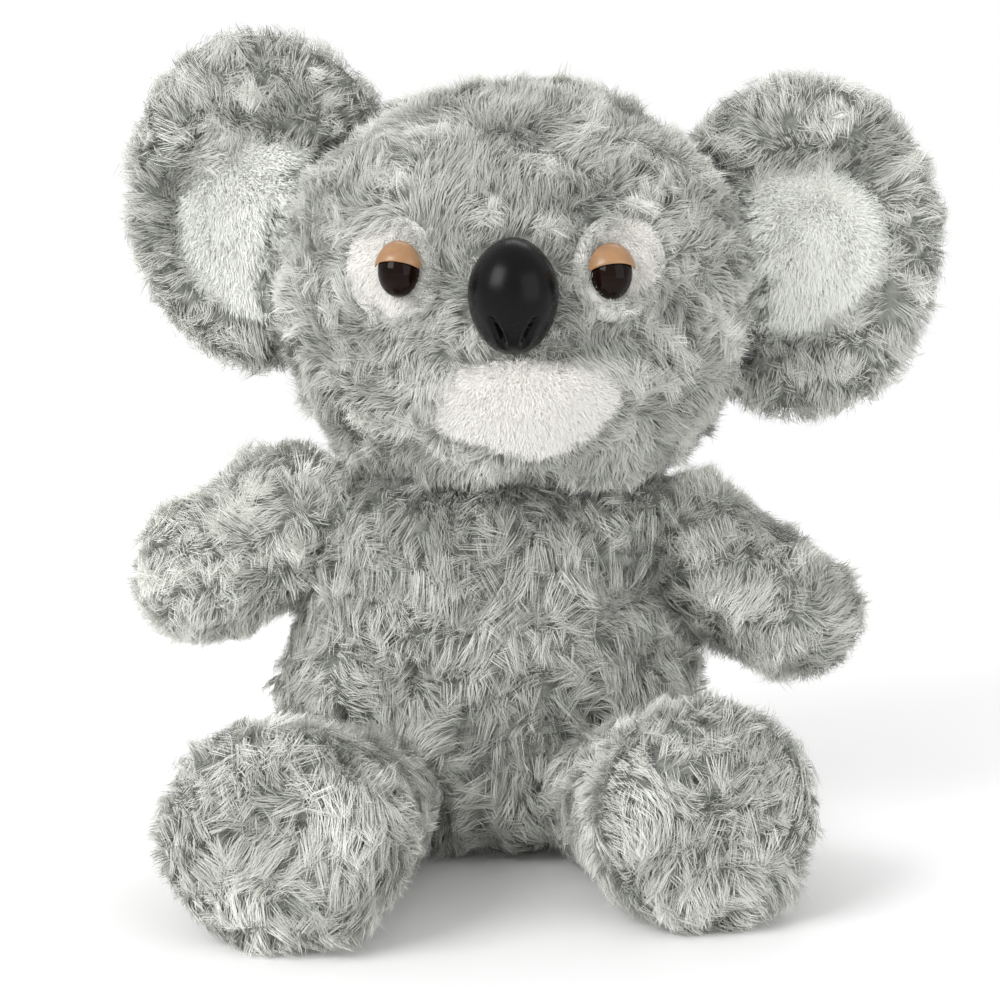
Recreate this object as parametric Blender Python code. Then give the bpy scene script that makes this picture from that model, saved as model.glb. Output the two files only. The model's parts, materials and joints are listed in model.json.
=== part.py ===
"""Plush koala, sitting.

The toy faces -Y and +Z is up. Left is the viewer's left, at -X. The origin is the middle of the flat
seat under the body. Each stuffed part is a fur cover with its filling inside, open where it is sewn
to the next part. Lengths are in metres.
"""

import bisect
import functools
import math

import bmesh
import bpy
from mathutils import Vector

# Cloth and clearances
COVER_WALL = 0.006
EAR_WALL = 0.004
PATCH_THICKNESS = 0.0024
GAP = 0.0003
FILL_GAP = 0.0006
SEAM_CLEARANCE = 0.0010
HIP_CLEARANCE = 0.0013
FLAT_CUT = 0.0005
OPENING_RADIUS = 0.012

# Creases pressed into the body's and head's covers, which run round them in waves
CREASE_DEPTH = 0.0030
CREASE_SPACING = 0.028
CREASE_WAVE = 1.4
CREASE_WAVES_ROUND = 3
CREASE_FADE = 0.020
CREASE_STEPS = 4

# Body
BODY_HALF_WIDTH = 0.078
BODY_FRONT = 0.064
BODY_BACK = 0.058
BODY_SHOULDER_HEIGHT = 0.126
NECK_RADIUS = 0.064
NECK_DOME = 0.020
BODY_SEGMENTS = 24
# height, half width, front and back, each in shares; the last row meets the round neck
BODY_SHARES = (
    (0.00, 0.00, 0.00, 0.00),
    (0.00, 0.44, 0.42, 0.44),
    (0.02, 0.74, 0.72, 0.76),
    (0.14, 0.98, 0.93, 0.96),
    (0.35, 1.03, 1.02, 1.04),
    (0.57, 0.98, 1.01, 1.03),
    (0.78, 0.93, 0.97, 1.03),
)

# Head
HEAD_OFFSET = 0.0072
HEAD_RISE = 0.0090
HEAD_BASE_HEIGHT = BODY_SHOULDER_HEIGHT + HEAD_RISE
HEAD_TALL = 0.1485
HEAD_HALF_WIDTH = 0.087
HEAD_FRONT = 0.079
HEAD_BACK = 0.072
HEAD_SEGMENTS = 28
HEAD_SHARES = (
    (0.00, 0.00, 0.00, 0.00),
    (0.00, 0.40, 0.36, 0.40),
    (0.02, 0.63, 0.60, 0.63),
    (0.13, 0.81, 0.81, 0.82),
    (0.30, 0.965, 0.95, 0.96),
    (0.47, 1.00, 1.00, 1.00),
    (0.63, 0.965, 0.955, 0.98),
    (0.79, 0.84, 0.80, 0.87),
    (0.92, 0.58, 0.52, 0.60),
    (0.985, 0.28, 0.25, 0.29),
    (1.00, 0.00, 0.00, 0.00),
)
MUZZLE_BULGE = 0.007
MUZZLE_BULGE_WIDTH = 0.034
MUZZLE_BULGE_HEIGHT = 0.026
MUZZLE_BULGE_LEVEL = 0.051

# Arms: shoulder centre, its height counted from the shoulder line, shoulder radius, direction to the
# paw, length to the paw's tip and paw radius
ARM_SEGMENTS = 16
LEFT_SHOULDER = (-0.0848, -0.0060, -0.0095)
LEFT_SHOULDER_RADIUS = 0.0280
LEFT_ARM_LENGTH = 0.0570
LEFT_ARM_DIRECTION_SHARES = (-0.80, -0.27, -0.48)
LEFT_PAW_RADIUS = 0.0270
RIGHT_SHOULDER = (0.0840, -0.0060, -0.0210)
RIGHT_SHOULDER_RADIUS = 0.0265
RIGHT_ARM_LENGTH = 0.0610
RIGHT_ARM_DIRECTION_SHARES = (0.80, -0.27, -0.52)
RIGHT_PAW_RADIUS = 0.0250
# distance past the shoulder's middle as a share of the rest of the arm, and radius as a share of the paw's
ARM_SHARES = (
    (0.20, 0.945),
    (0.45, 1.01),
    (0.68, 0.94),
    (0.86, 0.71),
    (0.97, 0.34),
    (1.00, 0.00),
)

# Legs: hip centre, direction to the sole, hip radius, length to the sole and foot half sizes
LEG_SEGMENTS = 16
HIP_RADIUS = 0.0265
LEFT_HIP = (-0.0470, -0.0560, 0.0265)
LEFT_LEG_LENGTH = 0.1030
LEFT_LEG_DIRECTION_SHARES = (-0.31, -0.94, 0.12)
LEFT_FOOT_HALF_WIDTH = 0.0425
LEFT_FOOT_HALF_HEIGHT = 0.0385
RIGHT_HIP = (0.0440, -0.0560, 0.0265)
RIGHT_LEG_LENGTH = 0.0830
RIGHT_LEG_DIRECTION_SHARES = (0.44, -0.88, 0.17)
RIGHT_FOOT_HALF_WIDTH = 0.0410
RIGHT_FOOT_HALF_HEIGHT = 0.0405
# distance past the hip's middle as a share of the rest of the leg, half width and half height as
# shares of the foot's; the sole panel begins at the row of SOLE_ROW
LEG_SHARES = (
    (0.20, 0.71, 0.63),
    (0.42, 0.86, 0.80),
    (0.66, 0.98, 0.92),
    (0.86, 1.00, 1.00),
    (0.96, 0.87, 0.87),
    (0.99, 0.56, 0.56),
    (1.00, 0.00, 0.00),
)
SOLE_ROW = 4

# Ears: middle, half sizes and thickness; the pale patch has its own middle and half sizes. Heights on
# the ears and the face are counted from the head's base.
EAR_EDGE_STEPS = 12
EAR_ROOT_STEPS = 7
EAR_SEARCH_STEPS = 240
EAR_DEPTH = 0.0080
EAR_THICKNESS = 0.028
EAR_ROOT_CLEARANCE = 0.0001
EAR_ROOT_SPREAD_SHARE = 0.05
LEFT_EAR = (-0.0850, 0.1050)
LEFT_EAR_HINGE = (-0.0900, 0.0980)
LEFT_EAR_HALF_WIDTH = 0.0530
LEFT_EAR_HALF_HEIGHT = 0.0650
LEFT_EAR_PATCH = (-0.1000, 0.1020)
LEFT_EAR_PATCH_HALF_WIDTH = 0.0230
LEFT_EAR_PATCH_HALF_HEIGHT = 0.0325
RIGHT_EAR = (0.1150, 0.0863)
RIGHT_EAR_HINGE = (0.1040, 0.0830)
RIGHT_EAR_HALF_WIDTH = 0.0540
RIGHT_EAR_HALF_HEIGHT = 0.0660
RIGHT_EAR_PATCH = (0.1190, 0.0870)
RIGHT_EAR_PATCH_HALF_WIDTH = 0.0300
RIGHT_EAR_PATCH_HALF_HEIGHT = 0.0350
EAR_PATCH_MOST_SHARE = 0.50
EAR_ROLL_WIDTH = 0.016
# from the patch's middle to its edge, and depth as a share of half the thickness
EAR_DISH_SHARES = ((0.0, 0.30), (0.55, 0.33), (1.0, 0.55))
# from the patch's edge to the ear's edge, and depth
EAR_ROLL_SHARES = ((0.38, 1.00), (0.72, 0.86), (0.93, 0.46), (1.00, 0.00))
EAR_BACK_DISH_SHARES = ((0.0, 0.90), (1.0, 1.00))
EAR_BACK_ROLL_SHARES = ((0.45, 0.90), (0.86, 0.52), (1.00, 0.00))

# Face patches
FACE_SEGMENTS = 18
FACE_RING_SHARES = (0.5, 1.0)
MUZZLE_PATCH_MIDDLE = (0.0105, 0.0385)
MUZZLE_PATCH_HALF_WIDTH = 0.0345
MUZZLE_PATCH_HALF_HEIGHT = 0.0165
# a wide bowl with a low peak under the nose, to the right first
MUZZLE_PATCH_SHARES = (
    (1.00, 0.72),
    (0.62, 0.92),
    (0.22, 1.00),
    (-0.10, 1.12),
    (-0.46, 0.90),
    (-0.80, 0.58),
    (-1.00, 0.16),
    (-0.88, -0.30),
    (-0.55, -0.68),
    (-0.15, -0.94),
    (0.18, -1.00),
    (0.50, -0.80),
    (0.78, -0.36),
    (0.96, 0.22),
)
EYE_PATCH_HALF_WIDTH = 0.0160
EYE_PATCH_HALF_HEIGHT = 0.0185
LEFT_EYE_PATCH = (-0.0335, 0.0850)
RIGHT_EYE_PATCH = (0.0420, 0.0860)

# Eyes
LEFT_EYE = (-0.0310, 0.0860)
RIGHT_EYE = (0.0387, 0.0855)
EYE_HALF_WIDTH = 0.0077
EYE_HALF_HEIGHT = 0.0097
EYE_DOME = 0.0075
EYE_SKIRT = 0.0010
EYE_SEGMENTS = 16
EYE_TILT_SHARE = 0.75
SHANK_RADIUS = 0.0022
SHANK_TAIL = 0.0035
EYELID_THICKNESS = 0.0009
EYELID_LOW_ANGLE = math.radians(14)
EYELID_HIGH_ANGLE = math.radians(84)
EYELID_SIDE_ANGLE = math.radians(80)
EYELID_STEPS_UP = 4
EYELID_STEPS_ACROSS = 8
WASHER_RADIUS = 0.0065
WASHER_THICKNESS = 0.0020
WASHER_SEGMENTS = 12
POCKET_CLEARANCE = 0.0010

# Nose
NOSE_MIDDLE = (0.0066, 0.0795)
NOSE_HALF_WIDTH = 0.0157
NOSE_HALF_HEIGHT = 0.0208
NOSE_DEPTH = 0.0175
NOSE_RIM = 0.0015
NOSE_TOP_NARROW_SHARE = 0.12
NOSE_RING_SHARES = (0.38, 0.68, 0.88, 0.97, 1.0)
NOSE_SEGMENTS = 20
NOSE_SHANK_RADIUS = 0.0028
NOSTRIL_SIDE = 0.0062
NOSTRIL_DROP = 0.0142
NOSTRIL_HALF_WIDTH = 0.0020
NOSTRIL_HALF_HEIGHT = 0.0055
NOSTRIL_DEPTH = 0.0026
NOSTRIL_TURN = math.radians(24)
NOSTRIL_SIDES = 8

OVERRUN = 0.0040
SOCKET_SEGMENTS = 20
SOCKET_RINGS = 14
SEAT_SEGMENTS = 36
FINE_STEPS = 12


def clear_scene():
    for old in list(bpy.data.objects):
        bpy.data.objects.remove(old, do_unlink=True)


def material(name, color, roughness, metallic=0.0):
    made = bpy.data.materials.new(name)
    made.use_nodes = True
    shader = made.node_tree.nodes["Principled BSDF"]
    shader.inputs["Base Color"].default_value = (*color, 1.0)
    shader.inputs["Roughness"].default_value = roughness
    shader.inputs["Metallic"].default_value = metallic
    return made


def curve_rows(rows, steps):
    """Rows on a smooth curve through the given rows, with steps stretches between each two."""
    found = []
    last = len(rows) - 1
    for i in range(last):
        before = rows[max(i - 1, 0)]
        start = rows[i]
        end = rows[i + 1]
        after = rows[min(i + 2, last)]
        for k in range(steps):
            t = k / steps
            row = []
            for a, b, c, d in zip(before, start, end, after):
                value = b + t * ((c - a) / 2 + t * (a - 2.5 * b + 2 * c - d / 2 + t * (1.5 * (b - c) + (d - a) / 2)))
                row.append(value)
            found.append(tuple(row))
    found.append(tuple(rows[last]))
    return found


def inset_rows(rows, inset):
    """Rows of (along, size, size, ...) moved inwards by inset, square to the outline that they draw."""
    moved = []
    last = len(rows) - 1
    for i, row in enumerate(rows):
        a = rows[max(i - 1, 0)]
        b = rows[min(i + 1, last)]
        along = b[0] - a[0]
        if i == 0 and row[1] < inset:
            out = 0.0
            along_out = -1.0
        elif i == last and row[1] < inset:
            out = 0.0
            along_out = 1.0
        else:
            across = sum(b[1:]) / len(b[1:]) - sum(a[1:]) / len(a[1:])
            length = math.hypot(along, across) or 1.0
            out = along / length
            along_out = -across / length
        sizes = [max(size - inset * out, 0.0) if size > 0 else 0.0 for size in row[1:]]
        moved.append((row[0] - inset * along_out, *sizes))
    return moved


def round_mesh(name, levels, inner=None, hollow=None):
    """A closed mesh over levels of points, from one end to the other; a level of one point is a pole.

    With inner levels it is a shell, and the two surfaces join at each end that isn't a pole. Hollow
    levels are a closed cavity's wall, which a cutter then opens.
    """
    mesh = bmesh.new()

    def add(levels):
        return [[mesh.verts.new(p) for p in level] for level in levels]

    def skin(levels):
        for low, high in zip(levels, levels[1:]):
            join(low, high)

    def join(low, high):
        count = max(len(low), len(high))
        for i in range(count):
            j = (i + 1) % count
            if len(low) == 1:
                mesh.faces.new((low[0], high[j], high[i]))
            elif len(high) == 1:
                mesh.faces.new((low[i], low[j], high[0]))
            else:
                mesh.faces.new((low[i], low[j], high[j], high[i]))

    outer = add(levels)
    skin(outer)
    if inner is None:
        for level in (outer[0], outer[-1]):
            if len(level) > 1:
                mesh.faces.new(level)
    else:
        lining = add(inner)
        skin(lining)
        for a, b in ((outer[0], lining[0]), (outer[-1], lining[-1])):
            if len(a) > 1:
                join(a, b)
    bmesh.ops.recalc_face_normals(mesh, faces=mesh.faces)
    if hollow is not None:
        before = set(mesh.faces)
        skin(add(hollow))
        cavity = [face for face in mesh.faces if face not in before]
        bmesh.ops.recalc_face_normals(mesh, faces=cavity)
        bmesh.ops.reverse_faces(mesh, faces=cavity)
    data = bpy.data.meshes.new(name)
    mesh.to_mesh(data)
    mesh.free()
    return data


def add_piece(name, data, look, parent=None):
    """An object whose mesh is given in world places; its origin goes to its parent's place."""
    piece = bpy.data.objects.new(name, data)
    bpy.context.scene.collection.objects.link(piece)
    piece.data.materials.append(look)
    data.shade_smooth()
    data.set_sharp_from_angle(angle=math.radians(50))
    if parent is not None:
        for vertex in data.vertices:
            vertex.co -= parent.location
        piece.parent = parent
    return piece


def add_joint(name, place):
    joint = bpy.data.objects.new(name, None)
    joint.empty_display_size = GAP
    joint.location = place
    bpy.context.scene.collection.objects.link(joint)
    return joint


def add_cutter(name, data):
    cutter = bpy.data.objects.new(name, data)
    cutter.hide_render = True
    cutter.display_type = "WIRE"
    bpy.context.scene.collection.objects.link(cutter)
    return cutter


def cut(piece, cutter, operation="DIFFERENCE"):
    boolean = piece.modifiers.new(cutter.name, "BOOLEAN")
    boolean.operation = operation
    boolean.object = cutter
    boolean.solver = "EXACT"


def on_body(place):
    """A place whose height is counted from the shoulder line, in the world."""
    return Vector((place[0], place[1], BODY_SHOULDER_HEIGHT + place[2]))


def on_head(place):
    """A side and height counted from the head's base, as a side and a world height."""
    return place[0], HEAD_BASE_HEIGHT + place[1]


def pushed_out(point, middle, radius):
    """The point, or the nearest place to it outside the ball."""
    away = point - middle
    if away.length >= radius:
        return point
    return middle + away.normalized() * radius


def pushed_off_neck(point, extra):
    """The point, or its place straight above the body's round top."""
    room = 1 - (point.x**2 + point.y**2) / (NECK_RADIUS + extra) ** 2
    if room <= 0:
        return point
    top = BODY_SHOULDER_HEIGHT + (NECK_DOME + extra) * math.sqrt(room)
    return Vector((point.x, point.y, max(point.z, top)))


def upright_levels(rows, segments, offset, shape):
    """Levels of points for rows of (height, half width, front, back); shape finishes each point."""
    levels = []
    for height, wide, front, back in rows:
        if wide <= 0:
            levels.append([shape(Vector((offset, 0, height)))])
            continue
        level = []
        for i in range(segments):
            turn = math.tau * (i + 0.5) / segments
            side = math.cos(turn) * wide
            depth = math.sin(turn) * (back if math.sin(turn) > 0 else front)
            level.append(shape(Vector((offset + side, depth, height))))
        levels.append(level)
    return levels


def pushed_back(point, middle, radius):
    """The point, or its place behind the ball, straight back along Y."""
    room = radius**2 - (point.x - middle.x) ** 2 - (point.z - middle.z) ** 2
    if room <= 0:
        return point
    return Vector((point.x, max(point.y, middle.y + math.sqrt(room)), point.z))


def dented(point, inset, clearance):
    """The point as the shoulders and hips press into the body at this depth of its cover."""
    reach = clearance + inset
    for middle, radius in ((LEFT_SHOULDER, LEFT_SHOULDER_RADIUS), (RIGHT_SHOULDER, RIGHT_SHOULDER_RADIUS)):
        point = pushed_out(point, on_body(middle), radius + reach)
    point.z = max(point.z, inset)
    for middle in (LEFT_HIP, RIGHT_HIP):
        point = pushed_back(point, Vector(middle), HIP_RADIUS + HIP_CLEARANCE + reach)
    return point


def creased(point, heart, along, room):
    """The point pressed in towards the part's heart where a crease runs; room fades the crease."""
    turn = math.atan2(point.y - heart.y, point.x - heart.x)
    phase = math.tau * along / CREASE_SPACING + CREASE_WAVE * math.sin(CREASE_WAVES_ROUND * turn)
    press = CREASE_DEPTH * min(max(room / CREASE_FADE, 0.0), 1.0) * (1 - math.cos(phase)) / 2
    return point + (heart - point).normalized() * press


def body_crease(point):
    """The body's outer surface, creased away from the seat, the neck, the arms and the legs."""
    room = min(point.z, BODY_SHOULDER_HEIGHT - point.z)
    for middle, radius in (
        (on_body(LEFT_SHOULDER), LEFT_SHOULDER_RADIUS),
        (on_body(RIGHT_SHOULDER), RIGHT_SHOULDER_RADIUS),
        (Vector(LEFT_HIP), HIP_RADIUS),
        (Vector(RIGHT_HIP), HIP_RADIUS),
    ):
        room = min(room, (point - middle).length - radius - CREASE_FADE / 2)
    return creased(point, Vector((0, 0, point.z)), point.z, room)


def head_crease(point):
    """The head's outer surface, creased on its crown and back, away from the face, ears and neck."""
    heart = Vector((HEAD_OFFSET, 0, HEAD_BASE_HEIGHT + HEAD_TALL / 2))
    away = point - heart
    rise = math.atan2(away.z, math.hypot(away.x, away.y))
    room = min(point.z - HEAD_BASE_HEIGHT - CREASE_FADE, max(point.y, away.z - HEAD_TALL / 3))
    ear = Vector((HEAD_HALF_WIDTH * math.copysign(1, away.x), EAR_DEPTH, heart.z + HEAD_TALL / 6))
    spread = Vector((away.x, away.y, 0)) - Vector((ear.x, ear.y, 0))
    room = min(room, spread.length - EAR_THICKNESS)
    return creased(point, heart, rise * HEAD_HALF_WIDTH, room)


def body_rows(steps):
    lower = []
    for height, wide, front, back in BODY_SHARES:
        lower.append(
            (
                height * (BODY_SHOULDER_HEIGHT + FLAT_CUT) - FLAT_CUT,
                wide * BODY_HALF_WIDTH,
                front * BODY_FRONT,
                back * BODY_BACK,
            )
        )
    lower.append((BODY_SHOULDER_HEIGHT, NECK_RADIUS, NECK_RADIUS, NECK_RADIUS))
    rows = curve_rows(lower[:2], 1)[:-1] + curve_rows(lower[1:], steps)
    turns = 5
    for i in range(1, turns):
        turn = math.pi / 2 * i / turns
        wide = NECK_RADIUS * math.cos(turn)
        rows.append((BODY_SHOULDER_HEIGHT + NECK_DOME * math.sin(turn), wide, wide, wide))
    rows.append((BODY_SHOULDER_HEIGHT + NECK_DOME, 0.0, 0.0, 0.0))
    return rows


def ball_cutter(name, middle, radius):
    rows = []
    for i in range(SOCKET_RINGS + 1):
        turn = math.pi * i / SOCKET_RINGS
        wide = radius * math.sin(turn) if 0 < i < SOCKET_RINGS else 0.0
        rows.append((-radius * math.cos(turn), wide, wide))
    levels = limb_levels(rows, SOCKET_SEGMENTS, Vector(middle), Vector((0, -1, 0)), False, 0.0)
    return add_cutter(name, round_mesh(name, levels))


def upright_cutter(name, rows, segments):
    """A turned cutter about the neck's upright axis, from rows of (height, radius)."""
    full = [(height, radius, radius, radius) for height, radius in rows]
    return add_cutter(name, round_mesh(name, upright_levels(full, segments, 0.0, Vector)))


def neck_opening(name, low, high):
    radius = OPENING_RADIUS
    return upright_cutter(name, ((low, 0.0), (low, radius), (high, radius), (high, 0.0)), WASHER_SEGMENTS)


def build_body(fur, filling):
    def levels(inset, clearance=SEAM_CLEARANCE):
        def shape(point):
            if inset:
                return dented(point, inset, clearance)
            return body_crease(Vector((point.x, point.y, max(point.z, 0.0))))

        rows = inset_rows(body_rows(2), inset) if inset else body_rows(CREASE_STEPS)
        return upright_levels(rows, BODY_SEGMENTS, 0.0, shape)

    data = round_mesh("body_cover", levels(0.0), hollow=levels(COVER_WALL))
    cover = add_piece("body_cover", data, fur)
    for middle, radius, name in (
        (on_body(LEFT_SHOULDER), LEFT_SHOULDER_RADIUS + SEAM_CLEARANCE, "shoulder_socket_left"),
        (on_body(RIGHT_SHOULDER), RIGHT_SHOULDER_RADIUS + SEAM_CLEARANCE, "shoulder_socket_right"),
        (LEFT_HIP, HIP_RADIUS + HIP_CLEARANCE, "hip_socket_left"),
        (RIGHT_HIP, HIP_RADIUS + HIP_CLEARANCE, "hip_socket_right"),
    ):
        cut(cover, ball_cutter(name, middle, radius))
    top = BODY_SHOULDER_HEIGHT + NECK_DOME
    cut(cover, neck_opening("body_opening", top - COVER_WALL - OVERRUN, top + OVERRUN))
    core = levels(COVER_WALL + FILL_GAP, 2 * SEAM_CLEARANCE)
    add_piece("body_stuffing", round_mesh("body_stuffing", core), filling)


def head_rows():
    rows = []
    for height, wide, front, back in HEAD_SHARES:
        rows.append(
            (
                HEAD_BASE_HEIGHT + height * HEAD_TALL,
                wide * HEAD_HALF_WIDTH,
                front * HEAD_FRONT,
                back * HEAD_BACK,
            )
        )
    return rows


def bulge(side, height):
    """How far the muzzle swells forward at a place on the face."""
    across = (side - HEAD_OFFSET) / MUZZLE_BULGE_WIDTH
    up = (height - HEAD_BASE_HEIGHT - MUZZLE_BULGE_LEVEL) / MUZZLE_BULGE_HEIGHT
    return MUZZLE_BULGE * math.exp(-(across**2) - up**2)


@functools.cache
def head_curve():
    return curve_rows(head_rows(), FINE_STEPS)


def head_size(height):
    """The head's half width, front and back at a height."""
    fine = head_curve()
    at = bisect.bisect_right(fine, height, key=lambda row: row[0])
    if at == 0 or at == len(fine):
        return [0.0, 0.0, 0.0]
    low = fine[at - 1]
    high = fine[at]
    t = (height - low[0]) / (high[0] - low[0])
    return [a + t * (b - a) for a, b in zip(low[1:], high[1:])]


def face_depth(side, height):
    """Where the face's surface lies at a side and a height."""
    wide, front, back = head_size(height)
    across = min(abs(side - HEAD_OFFSET) / wide, 1.0)
    return -front * math.sqrt(1 - across**2) - bulge(side, height)


def face_point(side, height, lift):
    """A place over the face, lifted square to its surface."""
    step = SEAM_CLEARANCE
    depth = face_depth(side, height)
    slope_side = (face_depth(side + step, height) - face_depth(side - step, height)) / (2 * step)
    slope_up = (face_depth(side, height + step) - face_depth(side, height - step)) / (2 * step)
    out = Vector((slope_side, -1, slope_up)).normalized()
    return Vector((side, depth, height)) + out * lift, out


def build_head(joint, fur, filling):
    rows = head_rows()
    coarse = [rows[0]] + curve_rows(rows[1:-2], 2)[:-1] + rows[-3:]
    fine = [rows[0]] + curve_rows(rows[1:-2], CREASE_STEPS)[:-1] + rows[-3:]

    def levels(inset, clearance=SEAM_CLEARANCE):
        def shape(point):
            if point.y < 0:
                point = Vector((point.x, point.y - bulge(point.x, point.z), point.z))
            return pushed_off_neck(point, clearance + inset) if inset else head_crease(point)

        moved = inset_rows(coarse, inset) if inset else fine
        return upright_levels(moved, HEAD_SEGMENTS, HEAD_OFFSET, shape)

    data = round_mesh("head_cover", levels(0.0), hollow=levels(COVER_WALL))
    cover = add_piece("head_cover", data, fur, joint)
    wide = NECK_RADIUS + SEAM_CLEARANCE
    tall = NECK_DOME + SEAM_CLEARANCE
    low = BODY_SHOULDER_HEIGHT
    dome = [(low - OVERRUN, 0.0), (low - OVERRUN, wide), (low, wide)]
    turns = 6
    for i in range(1, turns):
        turn = math.pi / 2 * i / turns
        dome.append((low + tall * math.sin(turn), wide * math.cos(turn)))
    dome.append((low + tall, 0.0))
    cut(cover, upright_cutter("neck_seat", dome, SEAT_SEGMENTS))
    cut(cover, neck_opening("head_opening", low, low + tall + COVER_WALL + OVERRUN))
    core = round_mesh("head_stuffing", levels(COVER_WALL + FILL_GAP, 2 * SEAM_CLEARANCE))
    return cover, add_piece("head_stuffing", core, filling, joint)


def limb_levels(rows, segments, middle, direction, floor, inset):
    """Levels of points for rows of (distance past the joint, half width, half height)."""
    ahead = direction.normalized()
    side = ahead.cross(Vector((0, 0, 1))).normalized()
    up = side.cross(ahead)
    levels = []
    for along, wide, tall in rows:
        centre = middle + ahead * along
        if wide <= 0:
            level = [centre]
        else:
            level = []
            for i in range(segments):
                turn = math.tau * (i + 0.5) / segments
                level.append(centre + side * (math.cos(turn) * wide) + up * (math.sin(turn) * tall))
        if floor:
            level = [Vector((p.x, p.y, max(p.z, inset))) for p in level]
        levels.append(level)
    return levels


def limb_rows(radius, shares, length, half_width, half_height, first):
    """Rows of a limb: a round root about its joint, then the swelling limb out to its end."""
    turns = 4
    rows = []
    for i in range(turns + 1):
        turn = first + (math.pi / 2 - first) * i / turns
        rows.append((-radius * math.cos(turn), radius * math.sin(turn), radius * math.sin(turn)))
    for row in shares:
        rows.append((row[0] * length, row[1] * half_width, row[-1] * half_height))
    return rows


def build_limb(name, joint, middle, direction, sizes, segments, looks, sole_row=None):
    """A limb's cover, filling and, with sole_row, its sole panel. sizes: radius, shares, length, halves."""
    fur, filling = looks
    radius, shares, length, half_width, half_height = sizes
    place = Vector(middle)
    ahead = Vector(direction)
    floor = sole_row is not None
    open_turn = math.asin(OPENING_RADIUS / radius)
    rows = limb_rows(radius, shares, length, half_width, half_height, open_turn)

    def levels(rows, inset):
        moved = inset_rows(rows, inset) if inset else rows
        return limb_levels(moved, segments, place, ahead, floor, inset)

    outer = levels(rows, 0.0)
    lining = levels(rows, COVER_WALL)
    if sole_row is not None:
        end = len(rows) - len(shares) + sole_row
        tube = round_mesh(name + "_cover", outer[: end + 1], lining[: end + 1])
        back = direction_step(ahead, GAP)
        sole_outer = [outer[end]] + outer[end + 1 :]
        sole_lining = [lining[end]] + lining[end + 1 :]
        sole_outer = [[p + back for p in level] for level in sole_outer]
        sole_lining = [[p + back for p in level] for level in sole_lining]
        sole = round_mesh("foot_sole" + name[3:], sole_outer, sole_lining)
        add_piece("foot_sole" + name[3:], sole, fur, joint)
    else:
        tube = round_mesh(name + "_cover", outer, lining)
    add_piece(name + "_cover", tube, fur, joint)
    full = [(-radius, 0.0, 0.0)] + rows
    core = round_mesh(name + "_stuffing", levels(full, COVER_WALL + FILL_GAP))
    add_piece(name + "_stuffing", core, filling, joint)


def direction_step(ahead, length):
    return ahead.normalized() * length


@functools.cache
def ear_ways(ear):
    """The ways from the patch's middle to the ear's outline, as (turn, distance): its edge, then its root."""
    middle, halves, patch = ear[:3]
    sign = -1 if middle[0] < 0 else 1

    def root_side(height):
        slope = (head_size(height + GAP)[0] - head_size(height - GAP)[0]) / (2 * GAP)
        clear = EAR_ROOT_CLEARANCE + EAR_ROOT_SPREAD_SHARE * abs(height - patch[1])
        return HEAD_OFFSET + sign * (head_size(height)[0] + clear * math.hypot(1, slope))

    def edge_point(turn):
        return (
            middle[0] + sign * math.cos(turn) * halves[0],
            middle[1] + math.sin(turn) * halves[1],
        )

    corners = []
    for step in (-math.pi / EAR_SEARCH_STEPS, math.pi / EAR_SEARCH_STEPS):
        turn = step
        side, height = edge_point(turn)
        while sign * (side - root_side(height)) > 0:
            turn += step
            side, height = edge_point(turn)
        corners.append(turn)
    low, high = corners
    points = [edge_point(low + (high - low) * i / EAR_EDGE_STEPS) for i in range(EAR_EDGE_STEPS + 1)]
    bottom = points[0][1]
    top = points[-1][1]
    for i in range(1, EAR_ROOT_STEPS):
        height = top + (bottom - top) * i / EAR_ROOT_STEPS
        points.append((root_side(height), height))
    ways = []
    for side, height in points:
        ways.append((math.atan2(height - patch[1], side - patch[0]), math.hypot(side - patch[0], height - patch[1])))
    return ways


def patch_reach(ear, way):
    """How far the pale patch runs from its middle one way."""
    turn, far = way
    wide, tall = ear[3]
    own = 1 / math.hypot(math.cos(turn) / wide, math.sin(turn) / tall)
    return min(own, far * EAR_PATCH_MOST_SHARE)


def roll_inset(ear, way, inset):
    """The inset that the ear's roll has room for one way."""
    return inset * min(1.0, (way[1] - patch_reach(ear, way)) / EAR_ROLL_WIDTH)


def ear_levels(ear, dish, roll, sign, inset, start):
    """One face of the ear, from its middle to its edge at the seam plane; sign is -1 in front."""
    patch = ear[2]
    half = EAR_THICKNESS / 2

    def level(reach_at, deep):
        points = []
        for way in ear_ways(ear):
            far = reach_at(way)
            side = patch[0] + math.cos(way[0]) * far
            height = patch[1] + math.sin(way[0]) * far
            points.append(Vector((side, EAR_DEPTH + sign * deep, height)))
        return points

    levels = []
    for share, depth in dish:
        deep = max(depth * half - inset, start)
        if share == 0:
            levels.append([Vector((patch[0], EAR_DEPTH + sign * deep, patch[1]))])
        else:
            levels.append(level(lambda way: (patch_reach(ear, way) + roll_inset(ear, way, inset)) * share, deep))
    for share, depth in roll:

        def reach_at(way):
            room = roll_inset(ear, way, inset)
            low = patch_reach(ear, way) + room
            high = way[1] - room
            return low + (high - low) * share

        levels.append(level(reach_at, max(depth * half - inset, start)))
    return levels


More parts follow.
